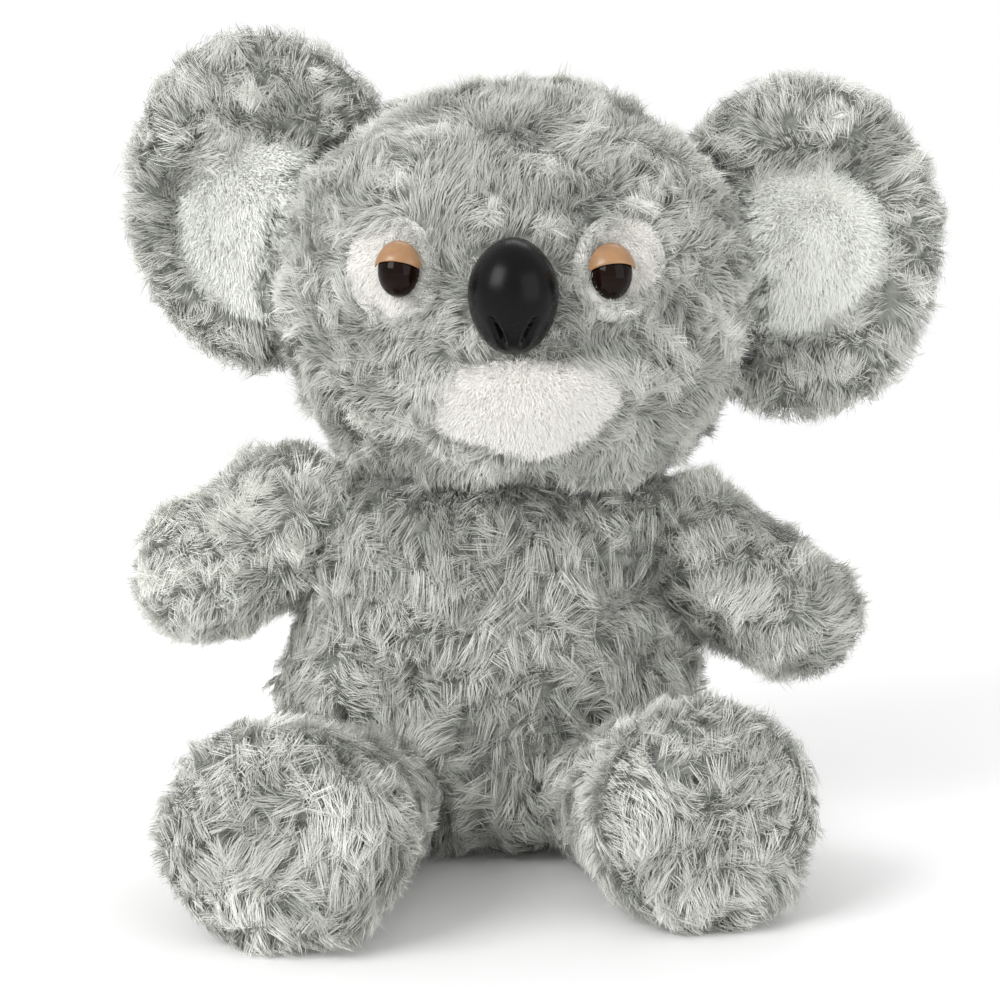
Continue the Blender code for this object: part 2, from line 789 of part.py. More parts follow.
def build_ear(side, joint, ear, looks):
    fur, filling, cream = looks
    seam = GAP / 2
    faces = (("front", EAR_DISH_SHARES, EAR_ROLL_SHARES, -1), ("back", EAR_BACK_DISH_SHARES, EAR_BACK_ROLL_SHARES, 1))
    for place, dish, roll, sign in faces:
        name = f"ear_{place}_{side}"
        outer = ear_levels(ear, dish, roll, sign, 0.0, seam)
        lining = ear_levels(ear, dish, roll, sign, EAR_WALL, seam)
        add_piece(name, round_mesh(name, outer, lining), fur, joint)
    inset = EAR_WALL + 2 * SEAM_CLEARANCE
    front = ear_levels(ear, EAR_DISH_SHARES, EAR_ROLL_SHARES, -1, inset, -seam)
    back = ear_levels(ear, EAR_BACK_DISH_SHARES, EAR_BACK_ROLL_SHARES, 1, inset, seam)
    name = f"ear_stuffing_{side}"
    add_piece(name, round_mesh(name, front[:-1] + back[::-1]), filling, joint)
    name = f"ear_patch_{side}"
    lift = GAP + SEAM_CLEARANCE / 2
    over = ear_levels(ear, EAR_DISH_SHARES, (), -1, -lift - PATCH_THICKNESS, 0.0)
    under = ear_levels(ear, EAR_DISH_SHARES, (), -1, -lift, 0.0)
    add_piece(name, round_mesh(name, over, under), cream, joint)


def face_patch_mesh(name, middle, radius_at, rings, segments, lift, thickness):
    """A piece that lies on the face: rings of points about its middle, under and over."""

    def levels(lifts):
        found = [[face_point(middle[0], middle[1], lifts(0.0))[0]]]
        for ring in rings:
            level = []
            for i in range(segments):
                turn = math.tau * (i + 0.5) / segments
                side, up = radius_at(turn)
                level.append(face_point(middle[0] + side * ring, middle[1] + up * ring, lifts(ring))[0])
            found.append(level)
        return found

    return round_mesh(name, levels(lambda ring: lift + thickness(ring)), levels(lambda ring: lift))


def muzzle_outline(turn):
    """The pale chin patch's edge, by a turn that counts its points."""
    side, up = MUZZLE_PATCH_SHARES[int(turn / math.tau * len(MUZZLE_PATCH_SHARES))]
    return side * MUZZLE_PATCH_HALF_WIDTH, up * MUZZLE_PATCH_HALF_HEIGHT


def eye_patch_outline(turn):
    return math.cos(turn) * EYE_PATCH_HALF_WIDTH, math.sin(turn) * EYE_PATCH_HALF_HEIGHT


def nose_outline(turn):
    """An egg with its narrow end up."""
    up = math.sin(turn)
    wide = 1 - NOSE_TOP_NARROW_SHARE * max(up, 0.0) ** 2
    return math.cos(turn) * NOSE_HALF_WIDTH * wide, up * NOSE_HALF_HEIGHT


def faced_levels(rows, segments, base, ahead):
    """Levels of points for rows of (distance out, half width, half height) about an axis from the face."""
    across = ahead.cross(Vector((0, 0, 1))).normalized()
    up = across.cross(ahead)
    levels = []
    for along, wide, tall in rows:
        centre = base + ahead * along
        if wide <= 0:
            levels.append([centre])
            continue
        level = []
        for i in range(segments):
            turn = math.tau * (i + 0.5) / segments
            level.append(centre + across * (math.cos(turn) * wide) + up * (math.sin(turn) * tall))
        levels.append(level)
    return levels


def eye_frame(place, lift):
    """Where an eye's back lies and the way that it faces."""
    base, out = face_point(place[0], place[1], lift)
    ahead = (out * EYE_TILT_SHARE + Vector((0, -1, 0)) * (1 - EYE_TILT_SHARE)).normalized()
    return base, ahead


def build_eye(side, place, patch_place, joint, head, looks):
    plastic, tan, steel, cream = looks
    cover, core = head
    patch_lift = GAP + SEAM_CLEARANCE / 2
    name = f"eye_patch_{side}"
    thickness = PATCH_THICKNESS
    mesh = face_patch_mesh(
        name, patch_place, eye_patch_outline, FACE_RING_SHARES, FACE_SEGMENTS, patch_lift, lambda ring: thickness
    )
    patch = add_piece(name, mesh, cream, joint)
    lift = patch_lift + thickness + SEAM_CLEARANCE
    base, ahead = eye_frame(place, lift)
    through = lift + COVER_WALL + 2 * SEAM_CLEARANCE
    shank = through + WASHER_THICKNESS + SHANK_TAIL
    rows = [
        (-shank, 0.0, 0.0),
        (-shank, SHANK_RADIUS, SHANK_RADIUS),
        (0.0, SHANK_RADIUS, SHANK_RADIUS),
        (0.0, EYE_HALF_WIDTH, EYE_HALF_HEIGHT),
    ]
    turns = 6
    for i in range(turns + 1):
        turn = math.pi / 2 * i / turns
        scale = math.cos(turn) if i < turns else 0.0
        rows.append((EYE_SKIRT + EYE_DOME * math.sin(turn), EYE_HALF_WIDTH * scale, EYE_HALF_HEIGHT * scale))
    name = f"eye_{side}"
    add_piece(name, round_mesh(name, faced_levels(rows, EYE_SEGMENTS, base, ahead)), plastic, joint)
    name = f"eyelid_{side}"
    add_piece(name, eyelid_mesh(name, base, ahead), tan, joint)
    name = f"eye_washer_{side}"
    washer = washer_mesh(name, base, ahead, through, SHANK_RADIUS)
    add_piece(name, washer, steel, joint)
    hole = [
        (-through - OVERRUN, 0.0, 0.0),
        (-through - OVERRUN, SHANK_RADIUS + GAP, SHANK_RADIUS + GAP),
        (OVERRUN, SHANK_RADIUS + GAP, SHANK_RADIUS + GAP),
        (OVERRUN, 0.0, 0.0),
    ]
    data = round_mesh(name + "_hole", faced_levels(hole, WASHER_SEGMENTS, base, ahead))
    hole_cutter = add_cutter(f"eye_hole_{side}", data)
    cut(cover, hole_cutter)
    cut(patch, hole_cutter)
    wide = WASHER_RADIUS + POCKET_CLEARANCE
    deep = shank + POCKET_CLEARANCE
    pocket = [(-deep, 0.0, 0.0), (-deep, wide, wide), (0.0, wide, wide), (0.0, 0.0, 0.0)]
    data = round_mesh(name + "_pocket", faced_levels(pocket, WASHER_SEGMENTS, base, ahead))
    cut(core, add_cutter(f"eye_pocket_{side}", data))


def washer_mesh(name, base, ahead, through, shank_radius):
    """A flat lock washer behind the cover, with its bore round the shank."""
    bore = shank_radius + GAP
    low = -through - WASHER_THICKNESS
    outer = [(low, bore, bore), (low, WASHER_RADIUS, WASHER_RADIUS)]
    outer += [(-through, WASHER_RADIUS, WASHER_RADIUS), (-through, bore, bore)]
    levels = faced_levels(outer, WASHER_SEGMENTS, base, ahead)
    mesh = bmesh.new()
    rings = [[mesh.verts.new(p) for p in level] for level in levels]
    for low_ring, high_ring in zip(rings, rings[1:] + rings[:1]):
        for i in range(WASHER_SEGMENTS):
            j = (i + 1) % WASHER_SEGMENTS
            mesh.faces.new((low_ring[i], low_ring[j], high_ring[j], high_ring[i]))
    bmesh.ops.recalc_face_normals(mesh, faces=mesh.faces)
    data = bpy.data.meshes.new(name)
    mesh.to_mesh(data)
    mesh.free()
    return data


def eyelid_mesh(name, base, ahead):
    """A thin shell over the upper part of the eye's dome."""
    across = ahead.cross(Vector((0, 0, 1))).normalized()
    up = across.cross(ahead)
    centre = base + ahead * EYE_SKIRT
    mesh = bmesh.new()

    def grid(extra):
        rows = []
        for i in range(EYELID_STEPS_UP + 1):
            high = EYELID_LOW_ANGLE + (EYELID_HIGH_ANGLE - EYELID_LOW_ANGLE) * i / EYELID_STEPS_UP
            row = []
            for k in range(EYELID_STEPS_ACROSS + 1):
                turn = EYELID_SIDE_ANGLE * (2 * k / EYELID_STEPS_ACROSS - 1)
                row.append(
                    mesh.verts.new(
                        centre
                        + across * (math.sin(turn) * (EYE_HALF_WIDTH + extra))
                        + up * (math.cos(turn) * math.sin(high) * (EYE_HALF_HEIGHT + extra))
                        + ahead * (math.cos(turn) * math.cos(high) * (EYE_DOME + extra))
                    )
                )
            rows.append(row)
        return rows

    outer = grid(GAP + EYELID_THICKNESS)
    inner = grid(GAP)
    for rows in (outer, inner):
        for low, high in zip(rows, rows[1:]):
            for k in range(EYELID_STEPS_ACROSS):
                mesh.faces.new((low[k], low[k + 1], high[k + 1], high[k]))
    around = []
    for rows in (outer, inner):
        edge = list(rows[0])
        edge += [row[-1] for row in rows[1:]]
        edge += rows[-1][-2::-1]
        edge += [row[0] for row in rows[-2:0:-1]]
        around.append(edge)
    for i in range(len(around[0])):
        j = (i + 1) % len(around[0])
        mesh.faces.new((around[0][i], around[0][j], around[1][j], around[1][i]))
    bmesh.ops.recalc_face_normals(mesh, faces=mesh.faces)
    data = bpy.data.meshes.new(name)
    mesh.to_mesh(data)
    mesh.free()
    return data


def build_nose(joint, head, plastic, steel):
    cover, core = head
    middle = on_head(NOSE_MIDDLE)
    lift = GAP + SEAM_CLEARANCE / 2

    def depth(ring):
        return NOSE_RIM + (NOSE_DEPTH - NOSE_RIM) * math.sqrt(max(1 - ring**2.3, 0.0))

    mesh = face_patch_mesh("nose", middle, nose_outline, NOSE_RING_SHARES, NOSE_SEGMENTS, lift, depth)
    nose = add_piece("nose", mesh, plastic, joint)
    base, out = face_point(middle[0], middle[1], lift)
    ahead = out
    through = lift + COVER_WALL + 2 * SEAM_CLEARANCE
    shank = through + WASHER_THICKNESS + SHANK_TAIL
    radius = NOSE_SHANK_RADIUS
    rows = [(-shank, 0.0, 0.0), (-shank, radius, radius), (OVERRUN, radius, radius), (OVERRUN, 0.0, 0.0)]
    data = round_mesh("nose_shank", faced_levels(rows, WASHER_SEGMENTS, base, ahead))
    cut(nose, add_cutter("nose_shank", data), "UNION")
    for sign in (-1, 1):
        side = middle[0] + sign * NOSTRIL_SIDE
        height = middle[1] - NOSTRIL_DROP
        ring = math.hypot(NOSTRIL_SIDE / NOSE_HALF_WIDTH, NOSTRIL_DROP / NOSE_HALF_HEIGHT)
        place = face_point(side, height, lift + depth(ring))[0]
        levels = []
        turns = 6
        lean = Vector((sign * math.sin(NOSTRIL_TURN), 0, -math.cos(NOSTRIL_TURN)))
        across = lean.cross(out).normalized()
        for i in range(turns + 1):
            turn = math.pi * i / turns
            centre = place + lean * (-math.cos(turn) * NOSTRIL_HALF_HEIGHT)
            size = math.sin(turn)
            if i in (0, turns):
                levels.append([centre])
                continue
            level = []
            for k in range(NOSTRIL_SIDES):
                angle = math.tau * k / NOSTRIL_SIDES
                level.append(
                    centre
                    + across * (math.cos(angle) * size * NOSTRIL_HALF_WIDTH)
                    + out * (math.sin(angle) * size * NOSTRIL_DEPTH)
                )
            levels.append(level)
        side_name = "left" if sign < 0 else "right"
        cut(nose, add_cutter(f"nostril_{side_name}", round_mesh("nostril", levels)))
    add_piece("nose_washer", washer_mesh("nose_washer", base, ahead, through, radius), steel, joint)
    hole_radius = radius + GAP
    rows = [
        (-through - OVERRUN, 0.0, 0.0),
        (-through - OVERRUN, hole_radius, hole_radius),
        (OVERRUN, hole_radius, hole_radius),
        (OVERRUN, 0.0, 0.0),
    ]
    data = round_mesh("nose_hole", faced_levels(rows, WASHER_SEGMENTS, base, ahead))
    cut(cover, add_cutter("nose_hole", data))
    wide = WASHER_RADIUS + POCKET_CLEARANCE
    deep = shank + POCKET_CLEARANCE
    rows = [(-deep, 0.0, 0.0), (-deep, wide, wide), (0.0, wide, wide), (0.0, 0.0, 0.0)]
    data = round_mesh("nose_pocket", faced_levels(rows, WASHER_SEGMENTS, base, ahead))
    cut(core, add_cutter("nose_pocket", data))


def main():
    clear_scene()
    fur = material("grey_fur", (0.40, 0.42, 0.41), 0.95)
    cream = material("cream_pile", (0.82, 0.80, 0.75), 0.95)
    filling = material("polyester_fibre", (0.88, 0.88, 0.86), 1.0)
    black = material("black_plastic", (0.012, 0.010, 0.010), 0.18)
    satin = material("satin_black_plastic", (0.014, 0.013, 0.014), 0.38)
    tan = material("tan_plastic", (0.52, 0.25, 0.09), 0.32)
    washer = material("white_plastic", (0.80, 0.80, 0.78), 0.5)

    build_body(fur, filling)
    neck = add_joint("neck_joint", (0, 0, BODY_SHOULDER_HEIGHT))
    head = build_head(neck, fur, filling)

    arms = (
        (
            "left",
            on_body(LEFT_SHOULDER),
            LEFT_ARM_DIRECTION_SHARES,
            (LEFT_SHOULDER_RADIUS, ARM_SHARES, LEFT_ARM_LENGTH, LEFT_PAW_RADIUS, LEFT_PAW_RADIUS),
        ),
        (
            "right",
            on_body(RIGHT_SHOULDER),
            RIGHT_ARM_DIRECTION_SHARES,
            (RIGHT_SHOULDER_RADIUS, ARM_SHARES, RIGHT_ARM_LENGTH, RIGHT_PAW_RADIUS, RIGHT_PAW_RADIUS),
        ),
    )
    for side, middle, direction, sizes in arms:
        joint = add_joint(f"shoulder_joint_{side}", middle)
        build_limb(f"arm_{side}", joint, middle, direction, sizes, ARM_SEGMENTS, (fur, filling))

    legs = (
        (
            "left",
            LEFT_HIP,
            LEFT_LEG_DIRECTION_SHARES,
            (HIP_RADIUS, LEG_SHARES, LEFT_LEG_LENGTH, LEFT_FOOT_HALF_WIDTH, LEFT_FOOT_HALF_HEIGHT),
        ),
        (
            "right",
            RIGHT_HIP,
            RIGHT_LEG_DIRECTION_SHARES,
            (HIP_RADIUS, LEG_SHARES, RIGHT_LEG_LENGTH, RIGHT_FOOT_HALF_WIDTH, RIGHT_FOOT_HALF_HEIGHT),
        ),
    )
    for side, middle, direction, sizes in legs:
        joint = add_joint(f"hip_joint_{side}", middle)
        build_limb(f"leg_{side}", joint, middle, direction, sizes, LEG_SEGMENTS, (fur, filling), SOLE_ROW)

    ears = (
        (
            "left",
            on_head(LEFT_EAR_HINGE),
            (
                on_head(LEFT_EAR),
                (LEFT_EAR_HALF_WIDTH, LEFT_EAR_HALF_HEIGHT),
                on_head(LEFT_EAR_PATCH),
                (LEFT_EAR_PATCH_HALF_WIDTH, LEFT_EAR_PATCH_HALF_HEIGHT),
            ),
        ),
        (
            "right",
            on_head(RIGHT_EAR_HINGE),
            (
                on_head(RIGHT_EAR),
                (RIGHT_EAR_HALF_WIDTH, RIGHT_EAR_HALF_HEIGHT),
                on_head(RIGHT_EAR_PATCH),
                (RIGHT_EAR_PATCH_HALF_WIDTH, RIGHT_EAR_PATCH_HALF_HEIGHT),
            ),
        ),
    )
    for side, hinge, ear in ears:
        joint = add_joint(f"ear_joint_{side}", (hinge[0], EAR_DEPTH, hinge[1]))
        build_ear(side, joint, ear, (fur, filling, cream))

    mesh = face_patch_mesh(
        "muzzle_patch",
        on_head(MUZZLE_PATCH_MIDDLE),
        muzzle_outline,
        FACE_RING_SHARES,
        len(MUZZLE_PATCH_SHARES),
        GAP + SEAM_CLEARANCE / 2,
        lambda ring: PATCH_THICKNESS,
    )
    add_piece("muzzle_patch", mesh, cream, neck)
    eye_looks = (black, tan, washer, cream)
    build_eye("left", on_head(LEFT_EYE), on_head(LEFT_EYE_PATCH), neck, head, eye_looks)
    build_eye("right", on_head(RIGHT_EYE), on_head(RIGHT_EYE_PATCH), neck, head, eye_looks)
    build_nose(neck, head, satin, washer)


main()
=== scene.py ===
"""Plush koala: its fur, face and stage, built round the packed solids.

Left is the viewer's left, at -X, and the face looks along -Y. Lengths are in metres.
"""

import json
import math
from contextlib import contextmanager

import bpy
import numpy as np
from bpy.props import FloatProperty, FloatVectorProperty, PointerProperty
from bpy.types import Operator, Panel, PropertyGroup
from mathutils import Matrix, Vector
from mathutils.bvhtree import BVHTree

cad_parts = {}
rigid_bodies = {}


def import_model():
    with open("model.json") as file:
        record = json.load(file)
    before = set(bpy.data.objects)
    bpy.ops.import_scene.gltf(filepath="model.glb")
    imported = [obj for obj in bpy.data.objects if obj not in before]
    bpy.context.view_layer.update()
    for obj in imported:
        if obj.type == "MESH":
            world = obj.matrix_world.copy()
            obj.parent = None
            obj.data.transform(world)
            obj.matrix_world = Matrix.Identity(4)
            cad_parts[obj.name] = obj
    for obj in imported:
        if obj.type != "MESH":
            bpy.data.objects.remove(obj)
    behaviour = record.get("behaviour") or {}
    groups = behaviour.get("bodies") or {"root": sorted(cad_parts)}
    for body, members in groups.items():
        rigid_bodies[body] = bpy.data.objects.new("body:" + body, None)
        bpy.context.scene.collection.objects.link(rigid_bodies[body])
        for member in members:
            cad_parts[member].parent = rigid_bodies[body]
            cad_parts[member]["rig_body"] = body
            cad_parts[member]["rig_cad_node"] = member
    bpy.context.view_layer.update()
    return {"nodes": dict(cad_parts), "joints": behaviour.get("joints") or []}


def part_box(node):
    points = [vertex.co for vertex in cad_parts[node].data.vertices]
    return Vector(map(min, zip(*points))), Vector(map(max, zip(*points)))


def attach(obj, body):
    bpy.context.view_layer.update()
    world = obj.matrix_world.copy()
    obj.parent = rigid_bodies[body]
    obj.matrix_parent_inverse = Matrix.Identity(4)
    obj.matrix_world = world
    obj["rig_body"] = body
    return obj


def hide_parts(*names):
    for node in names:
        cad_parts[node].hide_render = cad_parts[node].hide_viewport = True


bl_info = {
    "name": "Plush koala",
    "version": (1, 0, 0),
    "blender": (4, 5, 0),
    "location": "View3D > Sidebar > Koala",
    "description": "Builds a plush koala's fur, face pieces and stage round its solids",
    "category": "Object",
}

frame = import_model()
NODES = frame["nodes"]
JOINTS = {joint["name"]: Vector(joint["pos_m"]) for joint in frame["joints"]}


def middle_of(node):
    low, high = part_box(node)
    return (low + high) / 2


SIDES = ("left", "right")
PILE_MAP = "OFBake"
TONE_COLUMNS = 32
FULL_TURN = 2 * math.pi

# Face places, found on the solids
NOSE_LOW, NOSE_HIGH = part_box("nose")
NOSE_MIDDLE = middle_of("nose")
NOSE_TIP = Vector((NOSE_MIDDLE.x, NOSE_LOW.y, NOSE_MIDDLE.z))
EYE_MIDDLES = [middle_of(f"eye_patch_{side}") for side in SIDES]
MUZZLE_MIDDLE = middle_of("muzzle_patch")

# Searching and merging meshes
FRESH_RADIUS = 0.01
OUTSIDE = 0.4
IN_FRONT = 0.3
RIM_SEARCH = 0.06
CROSSING_WAYS = (Vector((0.12, 0.31, 0.94)), Vector((-0.41, 0.87, -0.27)), Vector((0.83, -0.38, 0.41)))
MOST_CROSSINGS = 12
PAST_SURFACE = 0.00001
MERGE_DISTANCE = 0.00002
QUAD_ANGLE = math.radians(60)

# Forms under the pile: segments, rings and rounds of smoothing
FINENESS = {"body": (108, 80, 14), "head": (84, 56, 8), "arm": (48, 36, 8), "leg": (64, 56, 10)}
BODY_HEART = Vector((0, 0, 0.068))
BODY_INSET = 0.001
BODY_RIDGE = 0.0044
LEG_RIDGE = 0.0020

# Where a form stands fuller than its solid: a middle, the push there and how wide it works
BODY_FILLED_OUT = (
    ((-0.052, -0.008, 0.132), (-0.008, -0.002, 0.002), 0.020),
    ((0.052, -0.008, 0.132), (0.008, -0.002, 0.002), 0.020),
    ((-0.068, -0.030, 0.052), (-0.011, -0.004, 0), 0.026),
)
# The same for an arm's root: inward and up from the shoulder's joint
ARM_FILLED_OUT = (
    ((0.012, 0, 0.012), (0.008, 0, 0.007), 0.024),
    ((0.012, 0, -0.022), (0.005, 0, -0.005), 0.020),
)

# Pile: a strand's tip stays over the floor, and none grows under the seat
FLOOR_LIFT = 0.0004
BODY_LOWEST = 0.0035
LEG_LOWEST = 0.0033
LOCK_MIDDLE = (0.36, 0.74)
LOCK_TIP = (1.0, 1.0)
TONE_SPREAD = 0.035
STEPS_UP = np.array((0, 0.5, 1))[None, :, None]
TAPER = np.array((0.9, 1.0, 0.0))[None, :, None]

# One strand: its faces' corners, how far across and how far up each lies
STRAND_POINTS = 5
STRAND_CORNERS = np.array((0, 1, 3, 2, 2, 3, 4))
STRAND_ACROSS = np.array((0.1, 0.9, 0.9, 0.1, 0.1, 0.9, 0.5))
STRAND_UP = np.array((0, 0, 0.5, 0.5, 0.5, 0.5, 1))
STRAND_STARTS = np.array((0, 4))

# Ears and patches: how their cloth lies over what carries it
EAR_EDGE_SHARE = 0.98
EAR_RIM_DEPTH = 0.0012
EAR_RIM_INSET = 0.0022
EAR_PATCH_LIFT = 0.0012
FACE_PATCH_LIFT = 0.0022
MUZZLE_LIFT = 0.0014
PATCH_SPARE = 0.002
PATCH_STEP = 0.001
PALE_PILE = {"pinch": 0.10, "stray": 0.0005, "relief": 0.06}
FACE_PILE = {**PALE_PILE, "length": 0.0030, "tall": 0.0026, "low": 0.0016}
EAR_PILE = {**PALE_PILE, "length": 0.0042, "tall": 0.0032, "low": 0.0021}
FILLING_LUMPS = 0.0006

# The nose: its dome, and two comma grooves with a column between them
NOSE_DEPTH = 0.0165
NOSE_WIDE_SHARE = 0.48
NOSE_TOP_SHARE = 0.89
NOSE_NARROWER = 0.12
NOSE_BACK_SHARE = 0.35
GROOVE_HALF_WIDTH = 0.00085
GROOVE_DEPTH = 0.0032
GROOVE_LOW = -0.0185
GROOVE_HIGH = -0.0065
GROOVE_FADE = 0.003

# The stage: what the camera looks at, and each lamp's place, size and share of the power
AIM = Vector((0.002, 0, 0.1265))
LAMPS = {
    "key": ((-1.05, -0.95, 1.0), 0.9, 1.0),
    "fill": ((0.95, -0.9, 0.45), 1.1, 0.28),
    "back": ((0.2, 1.1, 1.2), 1.0, 0.5),
}
SENSOR = 36.0
FLOOR_SIZE = 12
FLOOR_FADE = (0.22, 0.75)


# Mesh helpers


def deselect_all():
    if bpy.context.object and bpy.context.object.mode != "OBJECT":
        bpy.ops.object.mode_set(mode="OBJECT")
    for item in bpy.context.view_layer.objects:
        item.select_set(False)


def make_active(piece):
    deselect_all()
    piece.select_set(True)
    bpy.context.view_layer.objects.active = piece


@contextmanager
def editing(piece):
    """Edit mode on one piece, with all of it selected."""
    make_active(piece)
    bpy.ops.object.mode_set(mode="EDIT")
    bpy.ops.mesh.select_all(action="SELECT")
    yield
    bpy.ops.object.mode_set(mode="OBJECT")


def apply_modifiers(piece):
    make_active(piece)
    for modifier in list(piece.modifiers):
        bpy.ops.object.modifier_apply(modifier=modifier.name)


def add_evening(piece, rounds):
    smooth = piece.modifiers.new("even", "SMOOTH")
    smooth.factor = 0.5
    smooth.iterations = rounds


def finish_piece(piece, look, body, replaced=()):
    """Gives a piece its finish, its body, its slot and the solids that it stands for."""
    piece.data.materials.clear()
    piece.data.materials.append(look)
    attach(piece, body)
    if replaced:
        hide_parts(*replaced)


def read_triples(values, name, kind):
    found = np.empty(len(values) * 3, kind)
    values.foreach_get(name, found)
    return found.reshape(-1, 3)


def corners_of(mesh):
    """A mesh's points, their normals and its triangles, as arrays."""
    mesh.calc_loop_triangles()
    points = read_triples(mesh.vertices, "co", np.float32).astype(float)
    normals = read_triples(mesh.vertices, "normal", np.float32).astype(float)
    return points, normals, read_triples(mesh.loop_triangles, "vertices", np.int32)


def set_points(piece, points):
    piece.data.vertices.foreach_set("co", points.astype(np.float32).ravel())
    piece.data.update()


def search_tree(*meshes):
    """One search tree over the triangles of several meshes."""
    points = []
    triangles = []
    for mesh in meshes:
        found, _, corners = corners_of(mesh)
        triangles += (corners + len(points)).tolist()
        points += found.tolist()
    return BVHTree.FromPolygons(points, triangles)


def unit(vectors):
    return vectors / np.maximum(np.linalg.norm(vectors, axis=-1, keepdims=True), 1e-9)


def nearest(tree, points):
    """The nearest places on a tree's surface, and the normals there."""
    places = np.empty_like(points)
    normals = np.empty_like(points)
    for i, point in enumerate(points):
        place, normal, _, _ = tree.find_nearest(point)
        places[i] = place
        normals[i] = normal
    return places, normals


def crossings(tree, point, way):
    """How often a ray from a point crosses a surface."""
    start = Vector(point)
    for crossed in range(MOST_CROSSINGS):
        hit = tree.ray_cast(start, way)[0]
        if hit is None:
            return crossed
        start = hit + way * PAST_SURFACE
    return MOST_CROSSINGS


def depth_inside(tree, points):
    """How deep each point lies inside a closed surface; negative outside."""
    depths = np.empty(len(points))
    for i, point in enumerate(points):
        inside = sum(crossings(tree, point, way) % 2 for way in CROSSING_WAYS)
        depth = tree.find_nearest(point)[3]
        depths[i] = depth if inside >= 2 else -depth
    return depths


def closeness(points, middle, size):
    """1 at a middle, fading to nothing past about that size."""
    far = np.linalg.norm(points - np.array(middle), axis=1, keepdims=True)
    return np.exp(-((far / size) ** 2))


def away_from(points, middle, size, strength):
    """A push away from a middle that fades at about its size."""
    return unit(points - np.array(middle)) * strength * closeness(points, middle, size)


def waves(seed, length, count=28):
    """A smooth random vector field with features of about half that length."""
    rng = np.random.default_rng(seed)
    ways = unit(rng.normal(size=(count, 3)))
    pitch = FULL_TURN / (length * rng.uniform(0.75, 1.5, size=(count, 1)))
    starts = rng.uniform(0, FULL_TURN, size=count)
    sizes = rng.normal(size=(count, 3)) * math.sqrt(2 / count)
    turns = (ways * pitch).T

    def field(points):
        return np.sin(points @ turns + starts) @ sizes

    return field


def hills(seed, length, stretch, count=26):
    """A smooth random height over space, of about that wavelength, with its slope."""
    rng = np.random.default_rng(seed)
    pitch = FULL_TURN / (length * rng.uniform(0.8, 1.35, size=(count, 1)))
    turns = unit(rng.normal(size=(count, 3))) * pitch * np.array(stretch)
    starts = rng.uniform(0, FULL_TURN, size=count)
    size = math.sqrt(2 / count)

    def field(points):
        angles = points @ turns.T + starts
        slope = np.cos(angles) @ turns * (size * length / FULL_TURN)
        return np.sin(angles).sum(axis=1, keepdims=True) * size, slope

    return field


def ridges(seed, pitch, bend):
    """Wavy ridges one under another, like hills(): each stands highest at its lower edge, over a crease."""
    wide = waves(seed, 0.060)
    narrow = waves(seed + 100, 0.028)

    def field(points):
        wobble = wide(points) + 0.45 * narrow(points)
        part = (points[:, 2:] / pitch + bend * wobble[:, :1]) % 1.0
        edge = np.clip(part / 0.20, 0, 1)
        height = edge * (1.6 - 2.4 * part) - (1 - edge) * 0.8
        sideways = wobble[:, 1:] * (0.35, 0.25)
        down = np.concatenate([sideways, -np.ones((len(points), 1))], axis=1)
        return height, down * 0.8

    return field


# Materials


def new_material(name):
    made = bpy.data.materials.new(name)
    made.use_nodes = True
    return made, made.node_tree, made.node_tree.nodes["Principled BSDF"]


def set_inputs(node, values):
    for name, value in values.items():
        node.inputs[name].default_value = value


def mottled(tree, scale, dark, light, light_place):
    """Two colours mixed by a soft noise over the object."""
    made = tree.nodes.new("ShaderNodeValToRGB")
    low, high = made.color_ramp.elements
    low.position = 0.3
    low.color = (*dark, 1.0)
    high.position = light_place
    high.color = (*light, 1.0)
    tree.links.new(noise(tree, scale, 4.0, 0.6), made.inputs["Fac"])
    return made.outputs["Color"]


def noise(tree, scale, detail, roughness):
    place = tree.nodes.new("ShaderNodeTexCoord")
    made = tree.nodes.new("ShaderNodeTexNoise")
    set_inputs(made, {"Scale": scale, "Detail": detail, "Roughness": roughness})
    tree.links.new(place.outputs["Object"], made.inputs["Vector"])
    return made.outputs["Fac"]


def add_bump(tree, shader, height, strength, distance):
    bump = tree.nodes.new("ShaderNodeBump")
    set_inputs(bump, {"Strength": strength, "Distance": distance})
    tree.links.new(height, bump.inputs["Height"])
    tree.links.new(bump.outputs["Normal"], shader.inputs["Normal"])


def map_range(tree, source, values):
    made = tree.nodes.new("ShaderNodeMapRange")
    set_inputs(made, values)
    tree.links.new(source, made.inputs["Value"])
    return made


def mix_color(tree, amount, first, second):
    made = tree.nodes.new("ShaderNodeMix")
    made.data_type = "RGBA"
    for i, source in ((0, amount), (6, first), (7, second)):
        tree.links.new(source, made.inputs[i])
    return made.outputs[2]


